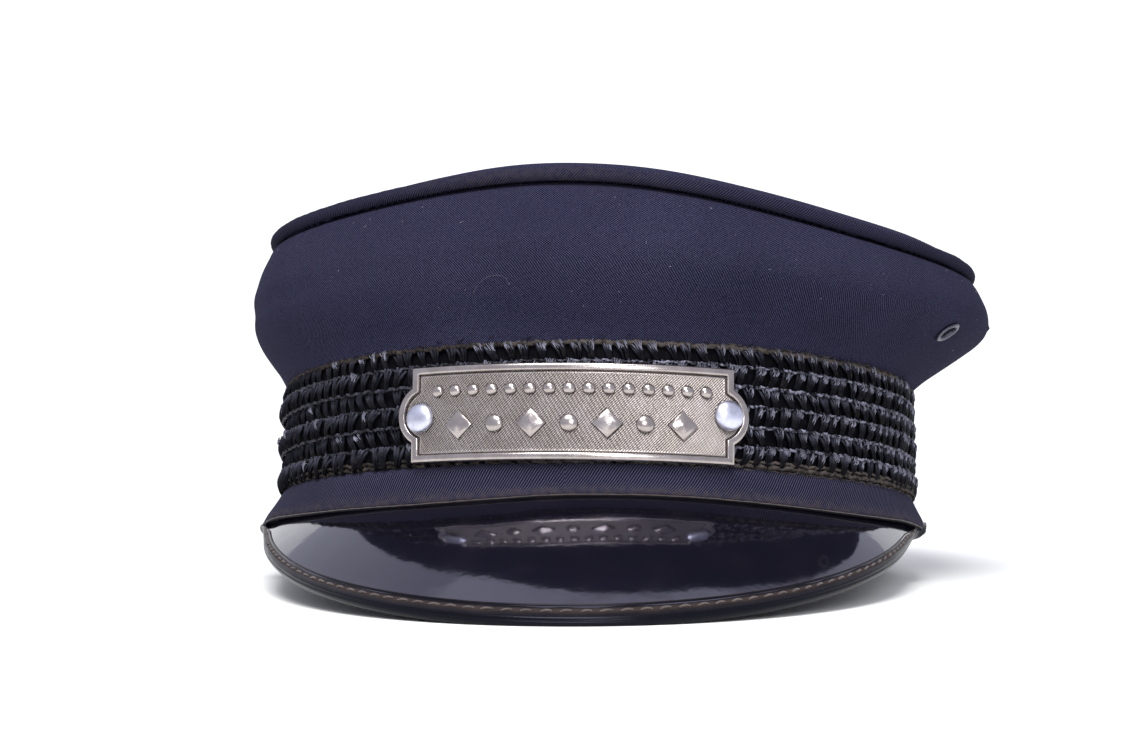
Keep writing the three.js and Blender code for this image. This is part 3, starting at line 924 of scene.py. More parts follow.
@dataclass(frozen=True)
class BraidFinish:
    """Black mohair with painted sheen streaks and painted highlights where its fibres catch the light,
    paler where dust sits.
    """

    name: str
    deep: tuple = (0.0010, 0.0010, 0.0020)
    # Colours of the painted sheen streaks and of the painted highlight on the tufts' feet and the cords
    sheen: tuple = (0.007, 0.007, 0.012)
    foot: tuple = (0.075, 0.075, 0.105)
    dust: tuple = (0.10, 0.078, 0.06)
    dusting: float = 0.08
    fibre: float = 0.2
    roughness: float = 0.42
    gloss: float = 0.05
    catch: Place = (0.38, 0.75)

    def material(self) -> bpy.types.Material:
        """The braid's material.

        Returns:
            The material.
        """
        s = Shader(self.name)
        u, v = s.woven()
        hairs = s.streaks(u, v, self.fibre, 2.4, 3.0)
        tone = s.cloud(4.0, 2.0)
        # Painted sheen: streaks along the fibres
        share = (hairs * 0.7 + tone * 0.3).between(0.40, 0.75)
        black = s.mix(share, self.deep, self.sheen)
        # Painted highlight where the piece's attribute says so: the tufts' feet, and the cords towards the
        # wearer's left
        caught = s.worn() * (hairs * 0.6 + s.cloud(2.2, 2.0) * 0.6).between(*self.catch)
        dusty = s.cloud(2.4, 4.0, 0.7).between(0.5, 0.66) * self.dusting
        s.dress(
            Base_Color=s.mix(dusty, s.mix(caught, black, self.foot), self.dust),
            Roughness=self.roughness + hairs * 0.15, Specular_IOR_Level=self.gloss,
            Normal=s.bump(hairs, 0.12, 0.8),
        )
        return s.material


@dataclass(frozen=True)
class PatentFinish:
    """Black patent leather: a glassy face with faint waves, dust and smears."""

    name: str = "patent_leather"
    black: tuple = (0.0042, 0.0038, 0.0066)
    dull: tuple = (0.042, 0.034, 0.032)
    speck: tuple = (0.2, 0.19, 0.2)
    gleam: tuple = (0.74, 0.71, 1.0)

    def material(self) -> bpy.types.Material:
        """The patent leather's material.

        Returns:
            The material.
        """
        s = Shader(self.name)
        waves = s.cloud(17.0, 1.0) * 0.75 + s.cloud(4.5, 2.0) * 0.25
        smear = s.cloud(11.0, 4.0, 0.65).between(0.45, 0.8)
        dust = s.specks(3.2, 0.028) * s.cloud(6.0).between(0.5, 0.62)
        haze = (s.worn() * (s.cloud(7.0, 4.0, 0.65) * 1.5)).between(0.12, 0.85)
        base = s.mix(haze, s.mix(smear * 0.06, self.black, self.dull), self.dull)
        s.dress(
            Base_Color=s.mix(dust * 0.5, base, self.speck),
            Roughness=0.06 + smear * 0.04 + haze * 0.5 + dust * 0.3,
            IOR=1.5, Specular_IOR_Level=1.0, Specular_Tint=self.gleam, Normal=s.bump(waves, 0.16, 0.6),
        )
        return s.material


@dataclass(frozen=True)
class LeatherFinish:
    """Plain leather that is worn to brown where its piece says so."""

    name: str
    base: tuple
    worn: tuple
    roughness: float = 0.4
    grain: float = 0.9
    gleam: tuple = (0.8, 0.8, 1.0)

    def material(self) -> bpy.types.Material:
        """The leather's material.

        Returns:
            The material.
        """
        s = Shader(self.name)
        cells = {"Vector": s.point(), "Scale": 1000.0 / self.grain}
        grain = s.node("ShaderNodeTexVoronoi", {"feature": "SMOOTH_F1"}, cells, "Distance")
        scuff = s.cloud(1.3, 4.0, 0.7)
        patch = s.cloud(9.0, 2.0)
        worn = (s.worn() * (scuff * 0.6 + patch * 0.7)).between(0.08, 0.7)
        s.dress(
            Base_Color=s.mix(worn, self.base, self.worn), Roughness=self.roughness + worn * 0.35,
            Specular_IOR_Level=0.12, Specular_Tint=self.gleam,
            Normal=s.bump(grain * 0.5 + scuff * 0.5, 0.08, 0.5),
        )
        return s.material


@dataclass(frozen=True)
class ThreadFinish:
    """Twisted thread, with painted shade between its strands and an uneven dirty tone."""

    name: str
    colour: tuple
    dark: tuple
    twist: float = 0.5

    def material(self) -> bpy.types.Material:
        """The thread's material.

        Returns:
            The material.
        """
        s = Shader(self.name)
        u, v = s.woven()
        strands = (u + v * 1.4).wave(self.twist)
        dirt = s.cloud(1.8, 3.0, 0.6)
        # Painted shade between the thread's strands, mixed with uneven dirt
        share = (strands * 0.4 + dirt * 0.6).between(0.3, 0.75)
        s.dress(
            Base_Color=s.mix(share, self.dark, self.colour), Roughness=0.8,
            Sheen_Weight=0.2, Normal=s.bump(strands, 0.08, 0.6),
        )
        return s.material


@dataclass(frozen=True)
class NickelFinish:
    """Cast nickel silver: a hatched field, dull in its grooves and bright on its rim."""

    name: str = "nickel_silver"
    bright: tuple = (0.46, 0.415, 0.40)
    warm: tuple = (0.36, 0.32, 0.295)
    grime: tuple = (0.045, 0.036, 0.032)
    hatch: float = 0.72

    def material(self) -> bpy.types.Material:
        """The badge's material.

        Returns:
            The material.
        """
        s = Shader(self.name)
        u, v = s.woven()
        drift = s.cloud(2.0) * 0.5
        lines = (u - v + drift).wave(self.hatch)
        beads = (u + v * 0.6 + drift).wave(self.hatch * 1.6)
        field_mask = s.node("ShaderNodeAttribute", {"attribute_name": "field"}, out="Fac")
        dirt = s.worn()
        tarnish = s.cloud(5.0, 3.0, 0.6)
        pits = s.cloud(0.7, 3.0, 0.6)
        grain = lines * 0.6 + beads * 0.2 + s.cloud(0.6, 2.0) * 0.3
        metal = s.mix(tarnish.between(0.3, 0.8), self.warm, self.bright)
        pressed = field_mask * (1 - grain.between(0.3, 0.7)) * 0.6
        shaded = (pressed + dirt * (0.6 + pits * 0.6)).between(0.03, 0.98)
        s.dress(
            Base_Color=s.mix(shaded, metal, self.grime), Metallic=1.0 - dirt * 0.25,
            Roughness=0.16 + field_mask * 0.2 + tarnish * 0.12 + dirt * 0.2,
            Normal=s.bump(field_mask * grain + pits * 0.08, 0.24, 1.0),
        )
        return s.material


@dataclass(frozen=True)
class MetalFinish:
    """Plain metal with fine scratches."""

    name: str
    colour: tuple
    roughness: float
    metallic: float = 1.0
    dulling: float = 0.72

    def material(self) -> bpy.types.Material:
        """The metal's material.

        Returns:
            The material.
        """
        s = Shader(self.name)
        marks = s.cloud(0.5, 4.0, 0.7)
        haze = s.cloud(3.0, 2.0)
        dull = tuple(self.dulling * c for c in self.colour)
        s.dress(
            Base_Color=s.mix(haze.between(0.35, 0.7), self.colour, dull), Metallic=self.metallic,
            Roughness=self.roughness + marks * 0.1, Normal=s.bump(marks, 0.03, 0.5),
        )
        return s.material


@dataclass(frozen=True)
class PlainFinish:
    """An even finish for the studio and for lint."""

    name: str
    colour: tuple
    roughness: float = 0.9
    dulling: float = 0.985

    def material(self) -> bpy.types.Material:
        """The plain material, very faintly uneven.

        Returns:
            The material.
        """
        s = Shader(self.name)
        shade = s.cloud(60.0, 2.0).between(0.2, 0.8)
        soft = tuple(self.dulling * c for c in self.colour)
        colour = s.mix(shade, soft, self.colour)
        s.dress(Base_Color=colour, Roughness=self.roughness, Specular_IOR_Level=0.1)
        return s.material


class Wardrobe:
    """Every finish of the cap, made once."""

    def __init__(self) -> None:
        """Makes the materials."""
        self.cloth = TwillFinish().material()
        self.strip = TwillFinish(
            "strip_twill", deep=(0.0042, 0.0045, 0.0135), light=(0.052, 0.050, 0.082),
            crossing=0.12, dust=0.45,
        ).material()
        self.piping = TwillFinish(
            "piping_twill", light=(0.032, 0.031, 0.054), rib=0.85, crossing=0.15, dust=0.15
        ).material()
        self.braid = BraidFinish("mohair_braid").material()
        self.ground = BraidFinish(
            "braid_ground", sheen=(0.005, 0.005, 0.007), dusting=0.02, roughness=0.7
        ).material()
        # Cords with a patchy painted highlight, brighter towards the wearer's left
        self.cord = BraidFinish(
            "braid_cord", sheen=(0.02, 0.02, 0.03), foot=(0.24, 0.24, 0.31),
            dusting=0.1, fibre=0.9, gloss=0.1, catch=(0.52, 0.78),
        ).material()
        # Bright hairs that stand for painted glints on the black braid
        self.glint = BraidFinish(
            "braid_glint", deep=(0.10, 0.10, 0.13), sheen=(0.52, 0.52, 0.65),
            dusting=0.1, fibre=0.9, gloss=0.2,
        ).material()
        # Dusty edges, with a painted highlight that is brighter towards the wearer's left
        self.selvage = BraidFinish(
            "selvage_dust_and_sheen", deep=(0.006, 0.005, 0.005), sheen=(0.045, 0.038, 0.035),
            foot=(0.07, 0.06, 0.055), dusting=0.5, fibre=0.5, roughness=0.6,
        ).material()
        self.patent = PatentFinish().material()
        self.binding = LeatherFinish(
            "binding_leather", base=(0.003, 0.0028, 0.005), worn=(0.032, 0.023, 0.020), roughness=0.26
        ).material()
        self.welt = LeatherFinish(
            "worn_welt", base=(0.0045, 0.004, 0.005), worn=(0.045, 0.035, 0.03), roughness=0.6
        ).material()
        self.thread = ThreadFinish("binding_thread", (0.13, 0.10, 0.088), (0.025, 0.02, 0.018)).material()
        self.nickel = NickelFinish().material()
        self.rivet = MetalFinish("rivet_steel", (0.66, 0.67, 0.78), 0.3).material()
        self.eyelet = MetalFinish("eyelet_enamel", (0.075, 0.078, 0.105), 0.3, 0.6).material()
        self.lint = PlainFinish("lint", (0.30, 0.30, 0.34), 0.95).material()
        self.pale = PlainFinish("pale_paper", (0.95, 0.95, 0.91)).material()


# Pieces


def hang(
    maker: Maker,
    name: str,
    material: bpy.types.Material,
    slot: Slot,
    replaces: Sequence[str] = (),
    wall: float = 0.0,
) -> bpy.types.Object:
    """Makes an object of a mesh and fastens it to the cap.

    Args:
        maker: the mesh, which is used up.
        name: the piece's name.
        material: its finish.
        slot: not used.
        replaces: the solids that it stands for.
        wall: thickness that is added inwards, in millimetres.

    Returns:
        The new object.
    """
    data = maker.mesh(name)
    data.materials.append(material)
    piece = bpy.data.objects.new(name, data)
    bpy.context.scene.collection.objects.link(piece)
    if wall:
        shell = piece.modifiers.new("wall", "SOLIDIFY")
        shell.thickness = wall * MM
        shell.offset = -1
        shell.use_even_offset = True
    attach(piece, "root")
    if replaces:
        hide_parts(*replaces)
    LOG.info("%s: %d faces", name, len(data.polygons))
    return piece


@dataclass
class Crown:
    """The crown: its soft wall, the panel that closes it and the piping between them."""

    wardrobe: Wardrobe
    columns: int = 264
    rows: int = 58
    wall: float = 2.0
    height: float = 44.0
    mean_radius: float = 108.0
    lump: float = 0.55
    small_lump: float = 0.16
    pucker: float = 0.10
    puckers: int = 74
    tuck: float = 2.3
    eyelet_angle: float = 1.17
    eyelet_rise: float = 0.385
    eyelet_hole: float = 3.0
    worn_at: float = -0.16
    cord_steps: int = 480
    cord_sides: int = 14
    cord_rib: float = 0.035
    cord_ribs: int = 620
    panel_columns: int = 180
    panel_puff: float = 5.0
    # Share of the way to the rim and of the panel's puff
    puffs: tuple[Place, ...] = (
        (0.0, 0.7), (0.35, 0.75), (0.65, 0.9), (0.84, 1.0), (0.92, 0.97), (0.96, 0.8), (0.985, 0.45),
        (1.0, 0.0),
    )

    def point(self, angle: float, rise: float) -> Vector:
        """A point of the crown's wall with its soft unevenness.

        Args:
            angle: turn from the front.
            rise: share of the crown's height, which may run a little past both ends.

        Returns:
            The point in the cap's own frame.
        """
        out, up, lean = FORM.crown_face(angle, min(max(rise, 0.0), 1.0))
        up += (min(rise, 0.0) + max(rise - 1, 0.0)) * self.height
        plain = FORM.around(angle, out, up, lean)
        lumps = self.lump * ripple(plain, 34, 3.1) + self.small_lump * ripple(plain, 13, 8.4)
        middle = smooth(rise * 5) * smooth((1 - rise) * 7)
        puckers = self.pucker * math.sin(angle * self.puckers + 3 * ripple(plain, 20))
        puckers *= smooth((rise - 0.8) * 6) * (1 - smooth((rise - 0.94) * 20))
        away = lumps * middle + puckers - self.tuck * smooth((rise - 0.962) / 0.038)
        return plain + FORM.outward(angle) * (away + self.folds(angle, rise))

    def folds(self, angle: float, rise: float) -> float:
        """The folds that the crown's slump has left.

        Args:
            angle: turn from the front.
            rise: share of the crown's height.

        Returns:
            Their height over the plain wall, in millimetres.
        """
        low = bell(rise - 0.2, 0.16)
        furrow = -1.3 * bell(angle - blend(1.03, 0.93, rise * 2), 0.05) * low
        beside = 0.6 * bell(angle - 0.86, 0.07) * low
        step = angle - self.eyelet_angle
        over = rise - self.eyelet_rise
        crease = 0.55 * bell(over - step * 0.62, 0.016)
        crease *= smooth((step - 0.03) * 20) * (1 - smooth((step - 0.35) * 6))
        lower = 0.35 * bell(over - step * 1.3, 0.018)
        lower *= smooth((-step - 0.03) * 20) * (1 - smooth((-step - 0.22) * 8))
        sag = 0.5 * bell(angle + 1.25, 0.16) * bell(rise - 0.75, 0.2)
        return furrow + beside + crease + lower + sag

    def wear(self, angle: float, rise: float) -> float:
        """How dusty the wall is: a rubbed patch under the piping, in front.

        Args:
            angle: turn from the front.
            rise: share of the crown's height.

        Returns:
            A share from 0 to 1.
        """
        patch = bell(angle - self.worn_at, 0.16) * bell(rise - 0.93, 0.10)
        return 0.9 * patch + 0.3 * smooth((rise - 0.93) * 14)

    def build_wall(self) -> bpy.types.Object:
        """Builds the cloth wall, pierced at its eyelet.

        Returns:
            The piece.
        """
        maker = Maker()
        angles = circle(self.columns)
        shares = [blend(-0.03, 1.012, i / (self.rows - 1)) for i in range(self.rows)]
        rows = [[FORM.world(self.point(angle, share)) for angle in angles] for share in shares]
        weave = (TURN * self.mean_radius * MM / self.columns, 56 * MM / self.rows)
        maker.draw(rows, closed=True, scale=weave, wear=lambda i, j: self.wear(angles[j], shares[i]))
        maker.look(FORM.world(Vector((0, 0, 60))))
        self.pierce(maker)
        cloth = self.wardrobe.cloth
        return hang(maker, "crown_wall_cloth", cloth, Slot.CLOTH, ["crown_side"], wall=self.wall)

    def pierce(self, maker: Maker) -> None:
        """Opens the hole behind the eyelet, which its flange covers.

        Args:
            maker: the wall's mesh.
        """
        centre, _ = self.eyelet_seat()

        def within(radius: float) -> list[bmesh.types.BMFace]:
            """The faces near the eyelet's middle."""
            return [f for f in maker.bm.faces if (f.calc_center_median() - centre).length < radius * MM]

        edges = list({e for f in within(7.0) for e in f.edges})
        bmesh.ops.subdivide_edges(maker.bm, edges=edges, cuts=3, use_grid_fill=True)
        bmesh.ops.delete(maker.bm, geom=within(self.eyelet_hole), context="FACES")

    def eyelet_seat(self) -> tuple[Vector, Vector]:
        """Finds the eyelet's seat on the plain wall.

        Returns:
            Its middle and the direction in which it looks, in the row frame.
        """
        step = 0.02

        def beside(aside: float, over: float) -> Vector:
            """A point of the plain wall beside the eyelet's middle."""
            angle = self.eyelet_angle + aside
            return FORM.world(FORM.around(angle, *FORM.crown_face(angle, self.eyelet_rise + over)))

        along = beside(step, 0) - beside(-step, 0)
        upward = beside(0, step) - beside(0, -step)
        return beside(0, 0), along.cross(upward).normalized()

    def build_piping(self) -> bpy.types.Object:
        """Builds the covered cord in the crown's seam.

        Returns:
            The piece.
        """
        maker = Maker()
        count, sides = self.cord_steps, self.cord_sides
        rows = [[] for _ in range(sides)]
        for angle in circle(count):
            centre = FORM.around(angle, *FORM.piping_centre(angle))
            wave = 0.12 * ripple(centre, 9, 2.0)
            away = FORM.outward(angle)
            for row, turn in zip(rows, circle(sides)):
                rib = self.cord_rib * math.sin(angle * self.cord_ribs + turn * 2)
                radius = FORM.piping + wave + rib
                lift = Vector((0, 0, radius * math.sin(turn)))
                row.append(FORM.world(centre + away * (radius * math.cos(turn)) + lift))

        def rubbed(i: int, j: int) -> float:
            """How worn the cord is, most in front."""
            angle = (j / count * TURN + math.pi) % TURN - math.pi
            return 0.25 + 0.75 * bell(angle - self.worn_at, 0.3)

        weave = (TURN * 109 * MM / count, TURN * FORM.piping * MM / sides)
        maker.draw(rows, closed=True, joined=True, scale=weave, wear=rubbed)
        maker.outside()
        return hang(maker, "seam_piping", self.wardrobe.piping, Slot.CLOTH, ["top_piping"])

    def panel_point(self, angle: float, spread: float, hem: bool, middle: Vector) -> Vector:
        """A point of the panel on top.

        Args:
            angle: turn from the front.
            spread: share of the way from the middle to the rim.
            hem: whether the point is on the hem under the piping.
            middle: the panel's middle before its puff.

        Returns:
            The point in the cap's own frame.
        """
        out, up, lean = FORM.piping_centre(angle)
        rim = FORM.around(angle, out - 2.05 + (1.1 if hem else 0), up + 0.8 - (0.9 if hem else 0), lean)
        point = middle.lerp(rim, spread)
        right = max(-math.sin(angle), 0) ** 3
        swell = self.panel_puff * through(self.puffs, spread) * (1 - 0.85 * spread * right)
        point.z = middle.z + (rim.z - middle.z) * spread**2 + swell
        point.z += 0.5 * ripple(point, 30, 6.0) * smooth((1 - spread) * 8)
        return point

    def build_panel(self) -> bpy.types.Object:
        """Builds the puffed panel on top, from its hem to its middle.

        Returns:
            The piece.
        """
        maker = Maker()
        spreads = [1.0, 0.993, 0.985, 0.97, 0.95, 0.92, 0.88, *(0.82 - 0.041 * k for k in range(20)), 0.0]
        middle = Vector((FORM.crown_lean, 0, FORM.band_top + 41.0))
        rows = []
        for i, spread in enumerate(spreads):
            ring = [self.panel_point(angle, spread, i == 0, middle) for angle in circle(self.panel_columns)]
            rows.append([FORM.world(point) for point in ring])
        maker.draw(rows, closed=True)
        bmesh.ops.remove_doubles(maker.bm, verts=maker.bm.verts[:], dist=1e-7)
        maker.lay_flat()
        maker.look(FORM.world(Vector((0, 0, 40))))
        cloth = self.wardrobe.cloth
        return hang(maker, "top_panel_cloth", cloth, Slot.CLOTH, ["crown_top"], wall=self.wall)

    def build(self) -> list[bpy.types.Object]:
        """All pieces of the crown."""
        return [self.build_wall(), self.build_piping(), self.build_panel()]


@dataclass
class Vent:
    """The enamelled eyelet in the crown's wall."""

    wardrobe: Wardrobe
    crown: Crown
    # Radius and height of its closed section, in millimetres
    section: tuple[Place, ...] = (
        (2.25, -2.3), (2.65, -2.3), (2.7, 0.05), (3.6, 0.05), (3.8, 0.2), (3.75, 0.42), (3.45, 0.64),
        (3.05, 0.72), (2.7, 0.62), (2.4, 0.35), (2.28, -0.1),
    )

    def build(self) -> list[bpy.types.Object]:
        """Builds the eyelet, spun from its section.

        Returns:
            The piece, in a list.
        """
        maker = Maker()
        maker.spin([(r * MM, z * MM) for r, z in self.section], 40, closed=True)
        maker.outside()
        maker.move(facing(*self.crown.eyelet_seat()))
        return [hang(maker, "eyelet_ring", self.wardrobe.eyelet, Slot.EYELET, ["vent_eyelet"])]


@dataclass
class Band:
    """The stiff band, with the bare strip of cloth under its braid."""

    wardrobe: Wardrobe
    columns: int = 288
    hem_wear: tuple[float, ...] = (0.2, 0.3, 0.7, 0.6, 0.3, 0.1)
    inner_wear: float = 0.15

    def section(self, angle: float) -> list[Place]:
        """The band's closed section, from the strip's foot over its top to the inside.

        Args:
            angle: turn from the front.

        Returns:
            Distance out and height of its points.
        """
        flare, foot = FORM.flare(angle), FORM.droop(angle)
        face, shoulder, wall = -FORM.strip_back, FORM.strip - 1.4, FORM.wall
        return [
            (face - 0.9 + flare, foot + 0.1),
            (face - 0.25 + flare, foot - 0.02),
            (face + 0.04 + flare, foot + 0.5),
            (face + 0.05 + flare * 0.93, foot + 1.3),
            (face + flare * 0.8, blend(foot, shoulder, 0.35)),
            (face + flare * 0.58 + 0.05, blend(foot, shoulder, 0.55)),
            (face + flare * 0.34, blend(foot, shoulder, 0.78)),
            (face + 0.1 * flare, shoulder + 0.1),
            (face - 0.35, FORM.strip - 0.1),
            (FORM.seat - 0.15, FORM.strip + 0.5),
            (FORM.seat, FORM.band_top - 0.2),
            (FORM.seat - 0.4, FORM.band_top),
            (FORM.seat - wall + 0.4, FORM.band_top),
            (FORM.seat - wall, FORM.band_top - 0.4),
            (FORM.seat - wall, FORM.strip + 12),
            (FORM.seat - wall, FORM.strip),
            (face - wall, shoulder),
            (face - wall + flare, foot + 0.6),
            (face - wall + 0.4 + flare, foot + 0.1),
        ]

    def build(self) -> list[bpy.types.Object]:
        """Builds the band, which the table stops at its lowest.

        Returns:
            The piece, in a list.
        """
        maker = Maker()
        wrapped = [a if a <= math.pi else a - TURN for a in circle(self.columns)]
        sections = [self.section(a) for a in wrapped]
        strip = range(3, 8)
        rows = []
        for i in range(len(sections[0])):
            row = []
            for angle, section in zip(wrapped, sections):
                point = FORM.around(angle, *section[i])
                if i in strip:
                    point += FORM.outward(angle) * (0.14 * ripple(point, 12, 5.0))
                row.append(FORM.on_table(point))
            rows.append(row)
        maker.draw(
            rows, closed=True, joined=True, scale=(TURN * 99 * MM / self.columns, 1.05 * MM),
            wear=lambda i, j: self.hem_wear[i] if i < len(self.hem_wear) else self.inner_wear,
        )
        maker.outside()
        return [hang(maker, "band_cloth", self.wardrobe.strip, Slot.CLOTH, ["head_band"])]


@dataclass(frozen=True)
class Rope:
    """One level cord of the braid; lengths are in millimetres."""

    rise: float
    proud: float
    radius: float
    lay: int
    wobble: float


@dataclass
class Braid:
    """The mohair braid: tufts of strands between level cords, over a dark ground."""

    wardrobe: Wardrobe
    cells: int = 140
    bands: int = 6
    seed: int = 7
    ground_columns: int = 240
    ground_rows: int = 26
    ground_depth: float = 0.75
    strand_girth: float = 0.46
    tuft_height: float = 5.9
    tuft_jitter: float = 0.008
    slant: float = 17.0
    slant_spread: float = 9.0
    right_roughness: float = 1.6
    hairs: int = 8
    # Share of the tufts with bright hairs as painted glints, on the wearer's right and left
    catching: Place = (0.12, 0.97)
    # Strands and sideways bulge of each kind of tuft
    kinds: tuple[tuple[int, float], ...] = ((3, 0.0), (3, 0.45), (4, -0.35))
    cord_radii: tuple[float, ...] = (0.40, 0.44, 0.36, 0.46, 0.34)
    edge_ropes: tuple[Rope, ...] = (
        Rope(0.008, 0.0, 0.62, 150, 0.3), Rope(0.99, 0.0, 0.62, 150, 0.3),
        Rope(0.045, 0.0, 0.42, 180, 0.35), Rope(-0.025, -0.5, 0.34, 200, 0.45),
        Rope(1.022, -0.5, 0.30, 200, 0.3),
    )
    dice: random.Random = field(init=False)

    def __post_init__(self) -> None:
        """Seeds the small irregularities."""
        self.dice = random.Random(self.seed)

    def face(self, angle: float, rise: float, proud: float) -> Vector:
        """A point over the braid's face, in the cap's frame."""
        out, up = FORM.braid_face(angle, rise)
        return FORM.around(angle, out + proud, up)

    def tilt(self, angle: float, rise: float) -> tuple[Vector, Vector]:
        """How the braid's face lies.

        Args:
            angle: turn from the front.
            rise: share of the braid's height.

        Returns:
            The directions along it and away from it, in the row frame.
        """
        step = 0.02
        upward = self.face(angle, rise + step, 0) - self.face(angle, rise - step, 0)
        along = self.face(angle + step, rise, 0) - self.face(angle - step, rise, 0)
        along, upward = along.normalized(), upward.normalized()
        return FORM.turned(along), FORM.turned(along.cross(upward))

    def build_ground(self) -> bpy.types.Object:
        """Builds the closed dark band behind the tufts.

        Returns:
            The piece.
        """
        maker = Maker()
        angles = circle(self.ground_columns)
        shares = [i / (self.ground_rows - 1) for i in range(self.ground_rows)]
        rows = [[FORM.world(self.face(a, share, -self.ground_depth)) for a in angles] for share in shares]
        for up in (FORM.band_top - 0.3, FORM.strip + 0.3):
            rows.append([FORM.world(FORM.around(a, -1.75, up)) for a in angles])
        weave = (TURN * 100 * MM / self.ground_columns, 1.2 * MM)
        maker.draw(rows, closed=True, joined=True, scale=weave)
        maker.outside()
        return hang(maker, "braid_ground", self.wardrobe.ground, Slot.BRAID, ["braid_band"])

    def tuft(self, strands: int, bow: float) -> Maker:
        """Strands that leave a splayed foot and meet at the cord above.

        Args:
            strands: how many strands it has.
            bow: sideways bulge of its middle, in millimetres.

        Returns:
            Closed tubes round the origin, standing along Z with their face towards Y.
        """
        maker = Maker()
        sides, steps = 5, 5
        shares = [i / steps for i in range(steps + 1)]
        girths = [self.strand_girth * MM * (0.72 + 0.28 * math.sin(math.pi * share)) for share in shares]
        for k in range(strands):
            place = 2 * k / (strands - 1) - 1
            lively = self.dice.uniform(-0.18, 0.18)
            path = []
            for share in shares:
                arch = math.sin(math.pi * share)
                aside = place * (0.6 + 1.0 * (1 - share) ** 2) + (bow + lively) * arch
                forward = 0.55 * arch - 0.2 * abs(place) + 0.15 * (1 - share)
                forward += self.dice.uniform(-0.08, 0.08)
                path.append(Vector((aside, forward, self.tuft_height * (share - 0.5))) * MM)
            # The attribute here is a painted highlight on each strand's splayed foot, fading upwards
            maker.draw(
                upright_rings(path, girths, sides), closed=True, ends=True,
                scale=(0.5 * MM, self.tuft_height / steps * MM),
                wear=lambda i, j: max(1 - i / steps * 1.6, 0.0) ** 1.5,
            )
        maker.outside()
        return maker

    def glints(self) -> Maker:
        """Fine bright hairs, painted glints, that fan up from a tuft's foot.

        Returns:
            Closed tubes that lie as those of a tuft do.
        """
        maker = Maker()
        sides, steps = 3, 3
        for _ in range(self.hairs):
            start, sway = self.dice.uniform(-1.5, 1.5), self.dice.uniform(-0.5, 0.9)
            foot, reach = self.dice.uniform(-3.1, -2.3), self.dice.uniform(1.2, 2.6)
            path = []
            for i in range(steps + 1):
                share = i / steps
                forward = 0.75 + 0.35 * math.sin(math.pi * share) + self.dice.uniform(-0.1, 0.1)
                aside = start * (1 - 0.5 * share) + sway * share
                path.append(Vector((aside, forward, foot + reach * share)) * MM)
            girth = self.dice.uniform(0.10, 0.19) * MM
            rings = upright_rings(path, [girth] * len(path), sides)
            maker.draw(rings, closed=True, ends=True, scale=(0.2 * MM, 0.7 * MM))
        maker.outside()
        return maker

    def catches(self, place: Matrix) -> bool:
        """Whether a tuft gets bright hairs as painted glints, which fewer get on the wearer's right,
        painted darker.
        """
        right, left = self.catching
        return self.dice.random() < (right if place.translation.x < -0.03 else left)

    def tuft_places(self, band: int) -> list[Matrix]:
        """Where the tufts of one level of the braid go.

        Args:
            band: the level, from 0 at the foot.

        Returns:
            The place of each tuft.
        """
        places = []
        shift, way = (0.5, 1) if band % 2 else (0.0, -1)
        rise = (band + 0.5) / self.bands
        for k in range(self.cells):
            angle = TURN * (k + shift) / self.cells + self.dice.uniform(-self.tuft_jitter, self.tuft_jitter)
            along, away = self.tilt(angle, rise)
            rough = self.right_roughness if math.sin(angle) < 0 else 1.0
            spread = rough * self.dice.uniform(-self.slant_spread, self.slant_spread)
            turn = Matrix.Rotation(way * math.radians(self.slant + spread), 3, away)
            wide, deep, tall = ((0.8, 1.02), (0.7, 1.4), (0.94, 1.06))
            scale = (self.dice.uniform(*wide), self.dice.uniform(*deep), self.dice.uniform(*tall))
            proud = -0.3 + rough * self.dice.uniform(-0.14, 0.14)
            origin = FORM.world(self.face(angle, rise, proud))
            places.append(set_on(origin, turn @ along, away, scale))
        return places

    def build_tufts(self) -> list[bpy.types.Object]:
        """Builds the tufts, those of the ridges apart from those of the valleys, and their bright hairs as
        painted glints.

        Returns:
            The pieces.
        """
        pieces, glints = [], Maker()
        for name, parity in (("braid_ridge_loops", 0), ("braid_valley_loops", 1)):
            maker = Maker()
            places = [place for band in range(parity, self.bands, 2) for place in self.tuft_places(band)]
            self.dice.shuffle(places)
            for n, (strands, bow) in enumerate(self.kinds):
                chosen = places[n::len(self.kinds)]
                maker.strew(self.tuft(strands, bow), chosen)
                glints.strew(self.glints(), [place for place in chosen if self.catches(place)])
            pieces.append(hang(maker, name, self.wardrobe.braid, Slot.BRAID))
        return [*pieces, hang(glints, "braid_glints", self.wardrobe.glint, Slot.BRAID)]

    def twist(self, maker: Maker, rope: Rope) -> None:
        """Adds a two-strand twisted cord that runs round the band.

        Args:
            maker: the mesh to add it to.
            rope: its sizes.
        """
        steps, sides = rope.lay * 8, 6
        path = []
        for angle in circle(steps):
            point = self.face(angle, rope.rise, rope.proud)
            drift = ripple(point, 5, rope.rise * 9) + 0.7 * ripple(point, 14, rope.rise * 4)
            point.z += rope.wobble * (math.sin(angle * self.cells) * 0.5 + drift)
            aside = ripple(point, 4, rope.rise * 5 + 2)
            point += FORM.outward(angle) * (rope.wobble * 0.6 * aside)
            path.append(FORM.world(point))

        def reach(i: int, turn: float) -> float:
            """The twisted section's radius."""
            strand = math.cos(2 * (turn - TURN * rope.lay * i / steps))
            return rope.radius * MM * (1 + 0.3 * strand)

        rings = cord_rings([path[-1], *path, path[0]], reach, sides)[1:-1]
        rows = [[ring[k] for ring in rings] for k in range(sides)]
        # The attribute here is a painted highlight, brighter towards the wearer's left, on the cords and
        # the selvages
        maker.draw(
            rows, closed=True, joined=True, scale=(TURN * 100 * MM / steps, 0.5 * MM),
            wear=lambda i, j: 0.2 + 0.8 * smooth((math.sin(TURN * j / steps) + 0.35) / 0.5),
        )

